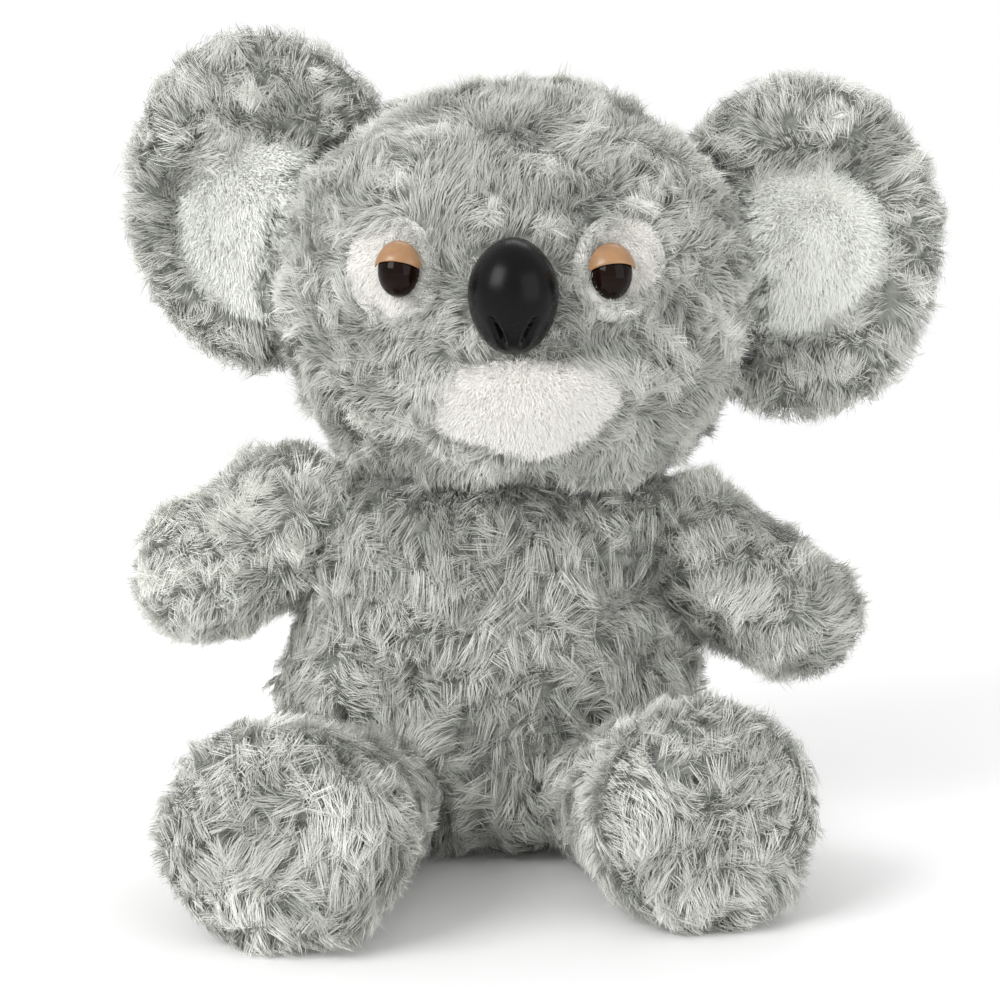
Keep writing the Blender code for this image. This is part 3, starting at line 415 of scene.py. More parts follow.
def pile_group():
    """Colour of laid pile by its map: across it a strand's tone, up it the way from root to tip."""
    if "laid_pile" in bpy.data.node_groups:
        return bpy.data.node_groups["laid_pile"]
    group = bpy.data.node_groups.new("laid_pile", "ShaderNodeTree")
    for name in ("Root", "Middle", "Tip"):
        group.interface.new_socket(name, in_out="INPUT", socket_type="NodeSocketColor")
    for name in ("Darkest", "Lightest"):
        group.interface.new_socket(name, in_out="INPUT", socket_type="NodeSocketFloat")
    group.interface.new_socket("Color", in_out="OUTPUT", socket_type="NodeSocketColor")
    entry = group.nodes.new("NodeGroupInput").outputs
    exit_node = group.nodes.new("NodeGroupOutput")
    place = group.nodes.new("ShaderNodeUVMap")
    place.uv_map = PILE_MAP
    split = group.nodes.new("ShaderNodeSeparateXYZ")
    group.links.new(place.outputs["UV"], split.inputs[0])
    # from a dark root to a light tip: partly the fibres' own colour, partly painted shade deep in the pile
    low = map_range(group, split.outputs["Y"], {"From Min": 0.05, "From Max": 0.55})
    high = map_range(group, split.outputs["Y"], {"From Min": 0.45, "From Max": 0.95})
    lower = mix_color(group, low.outputs[0], entry["Root"], entry["Middle"])
    upper = mix_color(group, high.outputs[0], lower, entry["Tip"])
    tone = map_range(group, split.outputs["X"], {})
    group.links.new(entry["Darkest"], tone.inputs["To Min"])
    group.links.new(entry["Lightest"], tone.inputs["To Max"])
    scaled = group.nodes.new("ShaderNodeVectorMath")
    scaled.operation = "SCALE"
    group.links.new(upper, scaled.inputs[0])
    group.links.new(tone.outputs[0], scaled.inputs["Scale"])
    group.links.new(scaled.outputs[0], exit_node.inputs["Color"])
    return group


def pile_material(name, colors, tones, roughness):
    """Pile of three colours from root to tip, between a darkest and a lightest tone."""
    made, tree, shader = new_material(name)
    group = tree.nodes.new("ShaderNodeGroup")
    group.node_tree = pile_group()
    for socket, color in zip(("Root", "Middle", "Tip"), colors):
        group.inputs[socket].default_value = (*color, 1.0)
    set_inputs(group, {"Darkest": tones[0], "Lightest": tones[1]})
    tree.links.new(group.outputs["Color"], shader.inputs["Base Color"])
    set_inputs(shader, {"Roughness": roughness, "Specular IOR Level": 0.25})
    set_inputs(shader, {"Sheen Weight": 0.25, "Sheen Roughness": 0.5})
    return made


def cloth_material(name, dark, light):
    """The knitted backing under the pile."""
    made, tree, shader = new_material(name)
    tree.links.new(mottled(tree, 140.0, dark, light, 0.7), shader.inputs["Base Color"])
    set_inputs(shader, {"Roughness": 0.9})
    add_bump(tree, shader, noise(tree, 900.0, 3.0, 0.6), 0.6, 0.0006)
    return made


def plastic_material(name, dark, light, roughness, spread, coat=0.0, scale=220.0, grain=0.00004, gloss=0.5):
    """Moulded plastic with a faint mottle and a fine moulded grain."""
    made, tree, shader = new_material(name)
    tree.links.new(mottled(tree, scale, dark, light, 0.75), shader.inputs["Base Color"])
    haze_values = {"To Min": roughness, "To Max": roughness + spread}
    haze = map_range(tree, noise(tree, scale * 2.5, 3.0, 0.5), haze_values)
    tree.links.new(haze.outputs[0], shader.inputs["Roughness"])
    set_inputs(shader, {"Coat Weight": coat, "Coat Roughness": 0.08, "Specular IOR Level": gloss})
    add_bump(tree, shader, noise(tree, 2600.0, 2.0, 0.5), 0.35, grain)
    return made


# Forms


def set_in_order(mesh, segments, rings):
    """Sorts a fresh ball's points by ring and turn, as their own order can change from run to run."""
    points = [vertex.co.copy() for vertex in mesh.vertices]
    keys = []
    for point in points:
        ring = round(math.acos(max(-1, min(1, point.z / FRESH_RADIUS))) / math.pi * rings)
        turn = round(math.atan2(point.y, point.x) / FULL_TURN * segments) % segments
        keys.append(ring * segments + (turn if 0 < ring < rings else 0))
    rank = {old: new for new, old in enumerate(sorted(range(len(points)), key=keys.__getitem__))}
    faces = []
    for face in mesh.polygons:
        corners = [rank[corner] for corner in face.vertices]
        first = corners.index(min(corners))
        faces.append(corners[first:] + corners[:first])
    mesh.clear_geometry()
    mesh.from_pydata([points[old] for old in rank], [], sorted(faces))


def fresh_ball(name, middle, segments, rings, turn):
    """A small ball at a middle, to be shaped."""
    deselect_all()
    bpy.ops.mesh.primitive_uv_sphere_add(
        segments=segments, ring_count=rings, radius=FRESH_RADIUS, location=middle, rotation=turn
    )
    piece = bpy.context.object
    piece.name = name
    piece.data.name = name
    set_in_order(piece.data, segments, rings)
    bpy.ops.object.transform_apply(location=True, rotation=True, scale=True)
    return piece


def fresh_disc(name, spokes, cuts):
    """A small finely divided disc, to be shaped."""
    deselect_all()
    bpy.ops.mesh.primitive_circle_add(
        vertices=spokes, radius=FRESH_RADIUS, fill_type="TRIFAN", location=(0, 0, 0)
    )
    piece = bpy.context.object
    piece.name = name
    with editing(piece):
        bpy.ops.mesh.subdivide(number_cuts=cuts)
    return piece


def disc_place(vertex):
    """How far out a fresh disc's point lies, up to 1, and at which turn."""
    share = min(math.hypot(vertex.co.x, vertex.co.y) / FRESH_RADIUS, 1.0)
    return share, math.atan2(vertex.co.y, vertex.co.x)


def beside(middle, turn, reach, depth):
    """The place at a turn and reach from a middle, seen from the front, at a depth."""
    return Vector((middle.x + math.cos(turn) * reach, depth, middle.z + math.sin(turn) * reach))


def face_along(piece, facing):
    """Turns a sheet's normals to the front, -1, or to the back, 1."""
    normals = corners_of(piece.data)[1]
    if np.mean(normals[:, 1]) * facing < 0:
        piece.data.flip_normals()


def drawn_in_ball(part, nodes, middle, ahead, inset):
    """A ball added round the solids and drawn in onto their outer surface, then smoothed and inset."""
    segments, rings, rounds = FINENESS[part.split("_")[0]]
    piece = fresh_ball(f"{part}_backing", middle, segments, rings, ahead.to_track_quat("Z", "Y").to_euler())
    tree = search_tree(*(NODES[node].data for node in nodes))
    for vertex in piece.data.vertices:
        way = (vertex.co - middle).normalized()
        hit = tree.ray_cast(middle + way * OUTSIDE, -way, OUTSIDE)[0]
        if hit is None:
            rim = tree.find_nearest(middle + way * RIM_SEARCH)[0]
            hit = middle + way * (rim - middle).dot(way)
        vertex.co = hit
    add_evening(piece, rounds)
    shrink = piece.modifiers.new("under_pile", "DISPLACE")
    shrink.mid_level = 0.0
    shrink.strength = -inset
    apply_modifiers(piece)
    bpy.ops.object.shade_smooth()
    return piece


def outline_of(node, middle):
    """How far a solid reaches from a middle, seen from the front, as a smooth function of the turn."""
    points = corners_of(NODES[node].data)[0]
    side = points[:, 0] - middle.x
    up = points[:, 2] - middle.z
    turns = np.arctan2(up, side)
    reach = np.hypot(side, up)
    ways = np.linspace(-math.pi, math.pi, 73)
    window = 0.30
    found = np.empty(len(ways))
    for i, way in enumerate(ways):
        apart = np.abs((turns - way + math.pi) % FULL_TURN - math.pi)
        ahead = reach * np.cos(np.minimum(apart, math.pi / 2))
        near = np.where(apart < window, reach, 0.0) * (1 - 0.06 * (apart / window) ** 2)
        found[i] = max(near.max(), 0.6 * ahead.max())
    found = (np.roll(found, 1) + 2 * found + np.roll(found, -1)) / 4
    found[-1] = found[0]

    def far(turn):
        return np.interp((np.asarray(turn) + math.pi) % FULL_TURN - math.pi, ways, found)

    return far


def share_out(far, points, middle):
    """How far out points lie, seen from the front: 0 at a middle and 1 on the outline round it."""
    side = points[:, 0] - middle.x
    up = points[:, 2] - middle.z
    return np.hypot(side, up) / far(np.arctan2(up, side))


# Pile


def areas_of(source):
    """The areas of a surface's triangles."""
    points, _, triangles = source
    a, b, c = (points[triangles[:, i]] for i in range(3))
    return np.linalg.norm(np.cross(b - a, c - a), axis=1) / 2


def scattered(source, count, rng):
    """Places spread evenly over a surface, and the normals there."""
    points, normals, triangles = source
    heap = np.cumsum(areas_of(source))
    picks = np.searchsorted(heap, (np.arange(count) + rng.uniform(size=count)) / count * heap[-1])
    corner = triangles[np.minimum(picks, len(triangles) - 1)]
    u = rng.uniform(size=(count, 1))
    v = rng.uniform(size=(count, 1))
    over = (u + v) > 1
    u = np.where(over, 1 - u, u)
    v = np.where(over, 1 - v, v)
    place, normal = (
        values[corner[:, 0]] * (1 - u - v) + values[corner[:, 1]] * u + values[corner[:, 2]] * v
        for values in (points, normals)
    )
    return place, unit(normal)


def varied(rng, count, spread, least, most):
    return np.clip(1 + spread * rng.normal(size=(count, 1)), least, most)


def lay_pile(source, look, body, spec):
    """Grows the pile of one panel in small locks that lean by the panel's field.

    Where the field is weak a lock stands up to spec's tall, and where it is strong it lies down to
    spec's low.
    """
    rng = np.random.default_rng(spec["seed"])
    each = spec["lock"]
    place, normal = scattered(source, int(areas_of(source).sum() * spec["density"] / each), rng)
    kept = spec["keep"](place, normal)
    place = place[kept]
    normal = normal[kept]
    count = len(place)
    height = spec["hills"](place)[0]
    if spec["raised"]:
        place = place + normal * spec["raised"](place)[:, None]

    # the way each lock leans, and how far it lies down
    field = spec["flow"](place) + spec["mess"] * rng.normal(size=(count, 3))
    field -= normal * np.sum(field * normal, axis=1, keepdims=True)
    way = unit(field)
    strength = np.linalg.norm(field, axis=1, keepdims=True)
    laid = 1 - np.exp(-((strength / spec["ease"]) ** 1.5))
    length = spec["length"] * spec["shortening"](place)
    size = length / np.max(length) * varied(rng, count, 0.10, 0.7, 1.3)
    reach = length * (0.25 + 0.75 * laid) * varied(rng, count, 0.12, 0.6, 1.4)
    hilly = 1 + spec["relief"] * np.clip(height, -1.4, 1.8)
    rise = (spec["tall"] + (spec["low"] - spec["tall"]) * laid) * size * hilly

    # each lock's middle line: its root, half way up and its tip
    guide = [place]
    guide_normals = [normal]
    for along, up in (LOCK_MIDDLE, LOCK_TIP):
        at = place + way * reach * along
        at_normal = normal
        lifted = 0.0
        if spec["tree"] is not None:
            at, at_normal = nearest(spec["tree"], at)
        if spec["raised"]:
            lifted = spec["raised"](at)[:, None]
        guide.append(at + at_normal * (rise * up + lifted))
        guide_normals.append(at_normal)

    # the strands of each lock
    strands = count * each
    spot = np.repeat(np.arange(count), each)
    line = np.stack(guide, axis=1)[spot]
    across = np.cross(normal, way)[spot] * rng.normal(size=(strands, 1))
    offset = (across + way[spot] * rng.normal(size=(strands, 1))) * spec["spread"]
    scale = rng.uniform(0.80, 1.08, size=(strands, 1))[:, None]
    stray = unit(rng.normal(size=(strands, 3))) * spec["stray"] * rng.uniform(size=(strands, 1))
    paths = line[:, :1] + (line - line[:, :1]) * scale
    paths = paths + offset[:, None] * (1 - spec["pinch"] * STEPS_UP**1.2) + stray[:, None] * STEPS_UP
    paths[:, :, 2] = np.maximum(paths[:, :, 2], FLOOR_LIFT)

    # their flat breadth, rolled a little about their length
    tangent = unit(np.gradient(paths, axis=1))
    flat = unit(np.cross(tangent, np.stack(guide_normals, axis=1)[spot]))
    roll = rng.normal(size=(strands, 1, 1)) * spec["roll"]
    breadth = flat * np.cos(roll) + np.cross(flat, tangent) * np.sin(roll)
    half = breadth * (spec["width"] / 2 * rng.uniform(0.75, 1.25, size=(strands, 1, 1)) * TAPER)

    # painted highlight and shade: the pile is lighter on the ridge tops and darker in the valleys, by the
    # height of the hills
    tone = spec["tone"](place) + spec["painted_ridge_shading"] * height[:, 0] + rng.normal(size=count) * TONE_SPREAD
    tone = np.repeat(tone, each) + rng.normal(size=strands) * TONE_SPREAD
    column = np.clip((tone * TONE_COLUMNS).astype(int), 0, TONE_COLUMNS - 1)
    order = np.argsort(np.repeat(spec["split"](place), each), kind="stable")
    for name, chosen in zip(spec["names"], np.array_split(order, len(spec["names"]))):
        piece = strand_mesh(name, (paths - half)[chosen], (paths + half)[chosen], column[chosen])
        finish_piece(piece, look, body)


def strand_mesh(name, left, right, column):
    """Strands as one mesh, each a quad from its root to half way up and a triangle to its tip."""
    strands = len(left)
    points = np.empty((strands, STRAND_POINTS, 3), np.float32)
    points[:, 0:4:2] = left[:, :2]
    points[:, 1:4:2] = right[:, :2]
    points[:, 4] = left[:, 2]
    turn = np.arange(strands)[:, None]
    corners = (STRAND_CORNERS + STRAND_POINTS * turn).ravel()
    starts = (STRAND_STARTS + len(STRAND_CORNERS) * turn).ravel()
    mesh = bpy.data.meshes.new(name)
    mesh.vertices.add(strands * STRAND_POINTS)
    mesh.vertices.foreach_set("co", points.ravel())
    mesh.loops.add(len(corners))
    mesh.loops.foreach_set("vertex_index", corners.astype(np.int32))
    mesh.polygons.add(len(starts))
    mesh.polygons.foreach_set("loop_start", starts.astype(np.int32))
    places = np.empty((strands, len(STRAND_CORNERS), 2), np.float32)
    places[:, :, 0] = (column[:, None] + STRAND_ACROSS) / TONE_COLUMNS
    places[:, :, 1] = 0.02 + 0.96 * STRAND_UP
    mesh.uv_layers.new(name=PILE_MAP).data.foreach_set("uv", places.ravel())
    mesh.update(calc_edges=True)
    mesh.polygons.foreach_set("use_smooth", np.ones(len(starts), bool))
    piece = bpy.data.objects.new(name, mesh)
    bpy.context.scene.collection.objects.link(piece)
    return piece


# Settings


def number(name, description, value, **kind):
    return FloatProperty(name=name, description=description, default=value, **kind)


def color(name, description, value):
    return FloatVectorProperty(
        name=name, description=description, subtype="COLOR", size=3, min=0.0, max=1.0, default=value
    )


class KoalaPile(PropertyGroup):
    length: number("Pile length", "Reach of the grey pile where it lies down", 0.0115, unit="LENGTH")
    tall: number("Standing pile", "Height of the pile where it stands up", 0.0088, unit="LENGTH")
    low: number("Laid pile", "Height of the pile where it lies down", 0.0052, unit="LENGTH")
    width: number("Strand width", "Width of a strand of the grey pile", 0.00023, unit="LENGTH")
    backing: number("Backing depth", "How far the backing lies under the solids", 0.0040, unit="LENGTH")
    density: number("Pile density", "Strands on each square metre", 1920000.0, min=1000.0)


class KoalaColors(PropertyGroup):
    # a dark root: partly the fibre's own colour, partly painted shade deep in the pile between the locks
    root: color("Root", "Grey pile at its root", (0.36, 0.37, 0.34))
    middle: color("Middle", "Grey pile half way up", (0.67, 0.68, 0.632))
    tip: color("Tip", "Grey pile at its tip", (0.88, 0.89, 0.838))
    cream: color("Cream", "Pale pile of the patches", (0.98, 0.965, 0.93))
    eyelid: color("Eyelid", "Tan eyelids", (0.36, 0.195, 0.090))
    eye: color("Eye", "Dark eyes", (0.012, 0.005, 0.003))
    nose: color("Nose", "Black nose", (0.004, 0.004, 0.0044))


class KoalaStage(PropertyGroup):
    elevation: number("Camera elevation", "Height of the view", math.radians(11), subtype="ANGLE")
    distance: number("Camera distance", "From the camera to the toy's middle", 1.05, unit="LENGTH")
    view_angle: number("View angle", "The camera's field of view", math.radians(20.52), subtype="ANGLE")
    key: number("Key light", "Power of the main lamp", 18.5, unit="POWER")
    ambient: number("Ambient light", "Strength of the even light", 0.70)


LOOKS = {}


def look(name):
    """One of the toy's materials, made at its first use."""
    if name in LOOKS:
        return LOOKS[name]
    colors = bpy.context.scene.koala_colors
    root, middle, tip = (np.array(getattr(colors, key)) for key in ("root", "middle", "tip"))
    cream, eyelid, eye, nose = (np.array(getattr(colors, key)) for key in ("cream", "eyelid", "eye", "nose"))
    if name == "grey_pile":
        made = pile_material(name, (root, middle, tip), (0.56, 1.20), 0.7)
    elif name == "cream_pile":
        made = pile_material(name, (cream, cream, cream), (0.98, 1.01), 0.85)
    elif name == "ear_pile":
        tints = ((0.96, 0.99, 0.97), (0.99, 1.02, 1.01), (0.99, 1.02, 1.02))
        made = pile_material(name, [cream * tint for tint in tints], (0.98, 1.0), 0.85)
    # the backing is as dark as the roots: partly its own colour, partly painted shade in the pile's valleys
    elif name == "grey_backing":
        made = cloth_material(name, root * 0.6, root * 1.1)
    elif name == "cream_backing":
        made = cloth_material(name, cream * 0.90, cream * 0.98)
    elif name == "fibre_filling":
        made = cloth_material(name, (0.62, 0.62, 0.60), (0.84, 0.84, 0.82))
    elif name == "dark_eye":
        made = plastic_material(
            name, eye * 0.4, eye, roughness=0.05, spread=0.04, scale=90.0, grain=0.00001, gloss=0.12
        )
    elif name == "tan_eyelid":
        made = plastic_material(name, eyelid * 0.85, eyelid * 1.12, roughness=0.30, spread=0.12, coat=0.2)
    elif name == "black_nose":
        made = plastic_material(name, nose * 0.7, nose, roughness=0.24, spread=0.08, gloss=0.15)
    elif name == "white_washer":
        made = plastic_material(name, (0.66, 0.66, 0.64), (0.80, 0.80, 0.78), roughness=0.45, spread=0.2)
    LOOKS[name] = made
    return made


# Panels: where their pile grows and which way it lies

WHORLS = waves(11, 0.034)
SMALL_WHORLS = waves(12, 0.017)
RUFFLE = waves(13, 0.026)
SHADES = waves(14, 0.05)
HEAD_HILLS = hills(15, 0.0165, (0.8, 0.8, 1.15))
BODY_HILLS = ridges(16, 0.0175, 0.55)
LEG_HILLS = ridges(17, 0.0165, 0.65)


def whorled(points, rises=HEAD_HILLS, whorl=0.45):
    """Up the hills, where strands meet in tufts, and round the whorls; hardly any parting in the valleys."""
    height, slope = rises(points)
    uphill = 1.5 * slope * np.clip(0.45 + 0.55 * height, 0.12, 1.2)
    return uphill + whorl * (WHORLS(points) + 0.5 * SMALL_WHORLS(points))


def shade(base):
    """The tone of a panel's pile, a little lighter and darker from place to place."""

    def tone(points):
        return np.clip(base + 0.10 * SHADES(points)[:, 0] + 0.08 * RUFFLE(points)[:, 1], 0.02, 1.1)

    return tone


def base_spec(seed, names, flow, tree, keep, tone, **changes):
    """The grey pile's values for one panel, with the panel's own changes."""
    pile = bpy.context.scene.koala_pile
    spec = {
        "seed": seed,
        "names": names,
        "flow": flow,
        "tree": tree,
        "keep": keep,
        "tone": tone,
        "density": pile.density * 1.0,
        "length": pile.length,
        "shortening": lambda points: np.ones((len(points), 1)),
        "tall": pile.tall,
        "low": pile.low,
        "width": pile.width * 1.0,
        "lock": 8,
        "ease": 1.25,
        # painted highlight and shade on the ridges, as tone for each unit of hill height
        "painted_ridge_shading": 0.13,
        "relief": 0.26,
        "spread": 0.0013,
        "pinch": 0.22,
        "stray": 0.0007,
        "mess": 0.28,
        "roll": 0.28,
        "hills": HEAD_HILLS,
        "raised": None,
        "split": lambda points: points[:, 1],
    }
    return {**spec, **changes}


def ridged(piece, rises, high):
    """Lifts a form into ridges, with creases between them."""
    points, normals, _ = corners_of(piece.data)
    set_points(piece, points + normals * high * np.clip(rises(points)[0], -1, 1.3))


def fuller(piece, middle, push, size):
    """Fills a form out round a place, most at its middle."""
    for vertex in piece.data.vertices:
        vertex.co += push * math.exp(-((((vertex.co - middle).length) / size) ** 2))
    piece.data.update()


FORMS = {}


def form(part):
    """The backing cloth of a stuffed part and its search tree; made once."""
    if part in FORMS:
        return FORMS[part]
    inset = bpy.context.scene.koala_pile.backing
    if part == "body":
        made = drawn_in_ball(part, ("body_cover",), BODY_HEART, Vector((0, 0, 1)), inset + BODY_INSET)
        for middle, push, size in BODY_FILLED_OUT:
            fuller(made, Vector(middle), Vector(push), size)
        ridged(made, BODY_HILLS, BODY_RIDGE)
    elif part == "head":
        made = drawn_in_ball(part, ("head_cover",), middle_of("head_cover"), Vector((0, 0, 1)), inset)
    elif part.startswith("arm"):
        middle = middle_of(f"{part}_cover")
        joint = JOINTS[f"{part}_raise"]
        made = drawn_in_ball(part, (f"{part}_cover",), middle, (middle - joint).normalized(), inset)
        mirror = Vector((-1 if middle.x > 0 else 1, 1, 1))
        for place, push, size in ARM_FILLED_OUT:
            fuller(made, joint + Vector(place) * mirror, Vector(push) * mirror, size)
    else:
        nodes = (f"{part}_cover", part.replace("leg", "foot_sole"))
        middle = (middle_of(nodes[0]) + middle_of(nodes[1])) / 2
        made = drawn_in_ball(part, nodes, middle, (middle - JOINTS[f"{part}_lift"]).normalized(), inset)
        ridged(made, LEG_HILLS, LEG_RIDGE)
    FORMS[part] = (made, search_tree(made.data))
    return FORMS[part]


def outside(neighbours, spare, lowest=-1.0):
    """Keeps roots that don't lie deep inside a neighbouring part or below a height."""
    trees = [form(part)[1] for part in neighbours]

    def keep(points, normals):
        kept = points[:, 2] > lowest
        for tree in trees:
            kept &= depth_inside(tree, points) < spare
        return kept

    return keep


def furred(piece, body, replaced, spec):
    """Grows the grey pile of a backing form and finishes both."""
    lay_pile(corners_of(piece.data), look("grey_pile"), body, spec)
    finish_piece(piece, look("grey_backing"), body, replaced)


def build_body():
    piece, tree = form("body")

    def flow(points):
        lay = np.array((0, -0.0225, -0.15)) + whorled(points, BODY_HILLS, 0.5)
        for side, out in zip(SIDES, (-1.0, 1.0)):
            lay += np.array((out * 1.6, 0, 0.8)) * closeness(points, JOINTS[f"arm_{side}_raise"], 0.035)
        top = np.exp(-(((points[:, 2:] - 0.139) / 0.012) ** 2))
        return lay + np.array((0, -0.8, 0.8)) * top

    keep = outside(("head", "arm_left", "arm_right", "leg_left", "leg_right"), 0.006, BODY_LOWEST)
    names = ("body_pile_front", "body_pile_sides", "body_pile_back")
    spec = base_spec(21, names, flow, tree, keep, shade(0.46), hills=BODY_HILLS, relief=0.18)
    spec["length"] *= 0.84
    spec["density"] *= 0.92
    furred(piece, "body", ("body_cover",), spec)


def around(middle, turns, reaches):
    """How far out points lie in a region, seen from the front, from its reach at a few turns in degrees."""
    ways = np.radians(np.array(turns + (turns[0] + 360,), float))
    sizes = np.array(reaches + (reaches[0],), float)

    def share(points):
        side = points[:, 0] - middle[0]
        up = points[:, 2] - middle[1]
        turn = (np.arctan2(up, side) - ways[0]) % FULL_TURN + ways[0]
        return np.hypot(side, up) / np.interp(turn, ways, sizes)

    return share


# Where the pale pile shows: its middle, then how far it reaches at turns anticlockwise from the right
EIGHT_TURNS = (0, 45, 90, 135, 180, 225, 270, 315)
MUZZLE_REACHES = {
    0: 0.0335,
    18: 0.0310,
    40: 0.0185,
    65: 0.0145,
    90: 0.0135,
    115: 0.0140,
    140: 0.0165,
    165: 0.0235,
    195: 0.0325,
    215: 0.0270,
    235: 0.0215,
    255: 0.0210,
    275: 0.0225,
    295: 0.0240,
    315: 0.0255,
    335: 0.0290,
}
LEFT_EYE_REACHES = (0.0122, 0.0140, 0.0148, 0.0150, 0.0138, 0.0140, 0.0140, 0.0128)
RIGHT_EYE_REACHES = (0.0125, 0.0148, 0.0142, 0.0106, 0.0082, 0.0076, 0.0094, 0.0122)
LEFT_EAR_REACHES = (0.0440, 0.0420, 0.0315, 0.0290, 0.0280, 0.0300, 0.0330, 0.0390)
RIGHT_EAR_REACHES = (0.0310, 0.0310, 0.0310, 0.0360, 0.0420, 0.0390, 0.0325, 0.0310)
PALE = {
    "muzzle_patch": around((0.0098, 0.1795), tuple(MUZZLE_REACHES), tuple(MUZZLE_REACHES.values())),
    "eye_patch_left": around((-0.0360, 0.2215), EIGHT_TURNS, LEFT_EYE_REACHES),
    "eye_patch_right": around((0.0440, 0.2240), EIGHT_TURNS, RIGHT_EYE_REACHES),
    "ear_patch_left": around((-0.0920, 0.2290), EIGHT_TURNS, LEFT_EAR_REACHES),
    "ear_patch_right": around((0.1180, 0.2225), EIGHT_TURNS, RIGHT_EAR_REACHES),
}
FACE_PATCHES = ("muzzle_patch", "eye_patch_left", "eye_patch_right")


def face_discs():
    """The patches of the face, with how high their cloth lies over the head's."""
    over = bpy.context.scene.koala_pile.backing + FACE_PATCH_LIFT
    middles = (MUZZLE_MIDDLE, *EYE_MIDDLES)
    return list(zip(FACE_PATCHES, middles, (over + MUZZLE_LIFT, over, over)))


def build_head():
    piece, tree = form("head")

    def flow(points):
        away = unit(points - np.array(NOSE_TIP) - np.array((0, 0.02, 0)))
        lay = away * 0.35 + np.array((0, 0.1125, -0.054)) + whorled(points)
        for middle in EYE_MIDDLES:
            lay += away_from(points, middle, 0.024, 0.7)
        lay += away_from(points, MUZZLE_MIDDLE, 0.034, 1.1)
        return lay + away_from(points, NOSE_MIDDLE, 0.026, 0.9)

    discs = [(outline_of(node, middle), middle, lift) for node, middle, lift in face_discs()]
    nose_far = outline_of("nose", NOSE_MIDDLE)
    buried = outside(("body",), 0.004)

    def raised(points):
        """Up to the patches where the grey pile grows over their edges."""
        height = np.zeros(len(points))
        for far, middle, lift in discs:
            share = share_out(far, points, middle)
            height = np.maximum(height, lift * np.clip((1.12 - share) / 0.24, 0, 1) * (points[:, 1] < 0))
        return height

    def keep(points, normals):
        """Round the patches and up to the nose, a little under its upper edge."""
        spots = points + normals * raised(points)[:, None]
        free = share_out(nose_far, points, NOSE_MIDDLE) > np.where(points[:, 2] > NOSE_MIDDLE.z, 0.78, 0.90)
        for node in FACE_PATCHES:
            free &= PALE[node](spots) > 1.0
        return buried(points, normals) & (free | (points[:, 1] >= 0))

    def shortening(points):
        """Shorter round the eyes, nose and muzzle."""
        share = np.ones((len(points), 1))
        for middle, size in zip((*EYE_MIDDLES, NOSE_MIDDLE, MUZZLE_MIDDLE), (0.026, 0.026, 0.026, 0.036)):
            share = share * (1 - 0.28 * closeness(points, middle, size))
        return share

    names = ("head_pile_face", "head_pile_sides", "head_pile_back")
    spec = base_spec(22, names, flow, tree, keep, shade(0.39), shortening=shortening, raised=raised)
    furred(piece, "head", ("head_cover",), spec)


def build_arm(side):
    part = f"arm_{side}"
    piece, tree = form(part)
    ahead = np.array((middle_of(f"{part}_cover") - JOINTS[f"{part}_raise"]).normalized())

    def flow(points):
        return ahead * 0.5 + whorled(points)

    seed = 31 + SIDES.index(side)
    # painted light: the left arm's pile is much lighter than the right's, where the lamp on the left falls
    # on it
    tone = shade(1.02 if side == "left" else 0.64)
    keep = outside(("body", "head"), 0.006)
    furred(piece, part, (f"{part}_cover",), base_spec(seed, (f"{part}_pile",), flow, tree, keep, tone))


def build_leg(side):
    part = f"leg_{side}"
    sole = f"foot_sole_{side}"
    piece, tree = form(part)
    hub = np.array(middle_of(sole))
    joint = JOINTS[f"{part}_lift"]
    way = (middle_of(sole) - joint).normalized()
    ahead = np.array(way)
    seam = min((Vector(point) - joint).dot(way) for point in corners_of(NODES[sole].data)[0])
    spin = 1.0 if side == "right" else -1.0

    def along(points):
        return (points - np.array(joint)) @ ahead

    def flow(points):
        on_sole = np.clip((along(points) - seam) / 0.006, 0, 1)[:, None]
        apart = points - hub
        swirl = unit(np.cross(ahead, apart) * spin + apart * 0.6)
        return ahead * (1 - on_sole) * 0.4 + swirl * on_sole * 0.25 + whorled(points, LEG_HILLS, 0.6)

    keep = outside(("body",), 0.006, LEG_LOWEST)
    names = (f"{part}_pile", f"{sole}_pile")
    seed = 41 + SIDES.index(side)
    # painted light: the legs' pile is lighter than the body's, for the feet that face the lamps
    spec = base_spec(seed, names, flow, tree, keep, shade(0.62), split=along, hills=LEG_HILLS, relief=0.18)
    spec["length"] *= 0.80
    furred(piece, part, (f"{part}_cover", sole), spec)


def merged_copy(node, name):
    """A copy of a solid, merged and turned to quads."""
    deselect_all()
    piece = NODES[node].copy()
    piece.data = NODES[node].data.copy()
    piece.parent = None
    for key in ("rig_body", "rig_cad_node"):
        del piece[key]
    piece.name = name
    piece.data.name = name
    bpy.context.scene.collection.objects.link(piece)
    with editing(piece):
        bpy.ops.mesh.remove_doubles(threshold=MERGE_DISTANCE)
        bpy.ops.mesh.tris_convert_to_quads(face_threshold=QUAD_ANGLE, shape_threshold=QUAD_ANGLE)
        bpy.ops.mesh.normals_make_consistent(inside=False)
    return piece


def build_fillings():
    """The stuffing of every part, a little lumpy."""
    lumps = waves(71, 0.012)
    for node in sorted(NODES):
        if "stuffing" not in node:
            continue
        piece = merged_copy(node, node.replace("stuffing", "filling"))
        add_evening(piece, 1)
        apply_modifiers(piece)
        points, normals, _ = corners_of(piece.data)
        set_points(piece, points - normals * FILLING_LUMPS * (1 + lumps(points)[:, :1]).clip(0, 2))
        bpy.ops.object.shade_smooth()
        finish_piece(piece, look("fibre_filling"), NODES[node]["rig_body"], (node,))


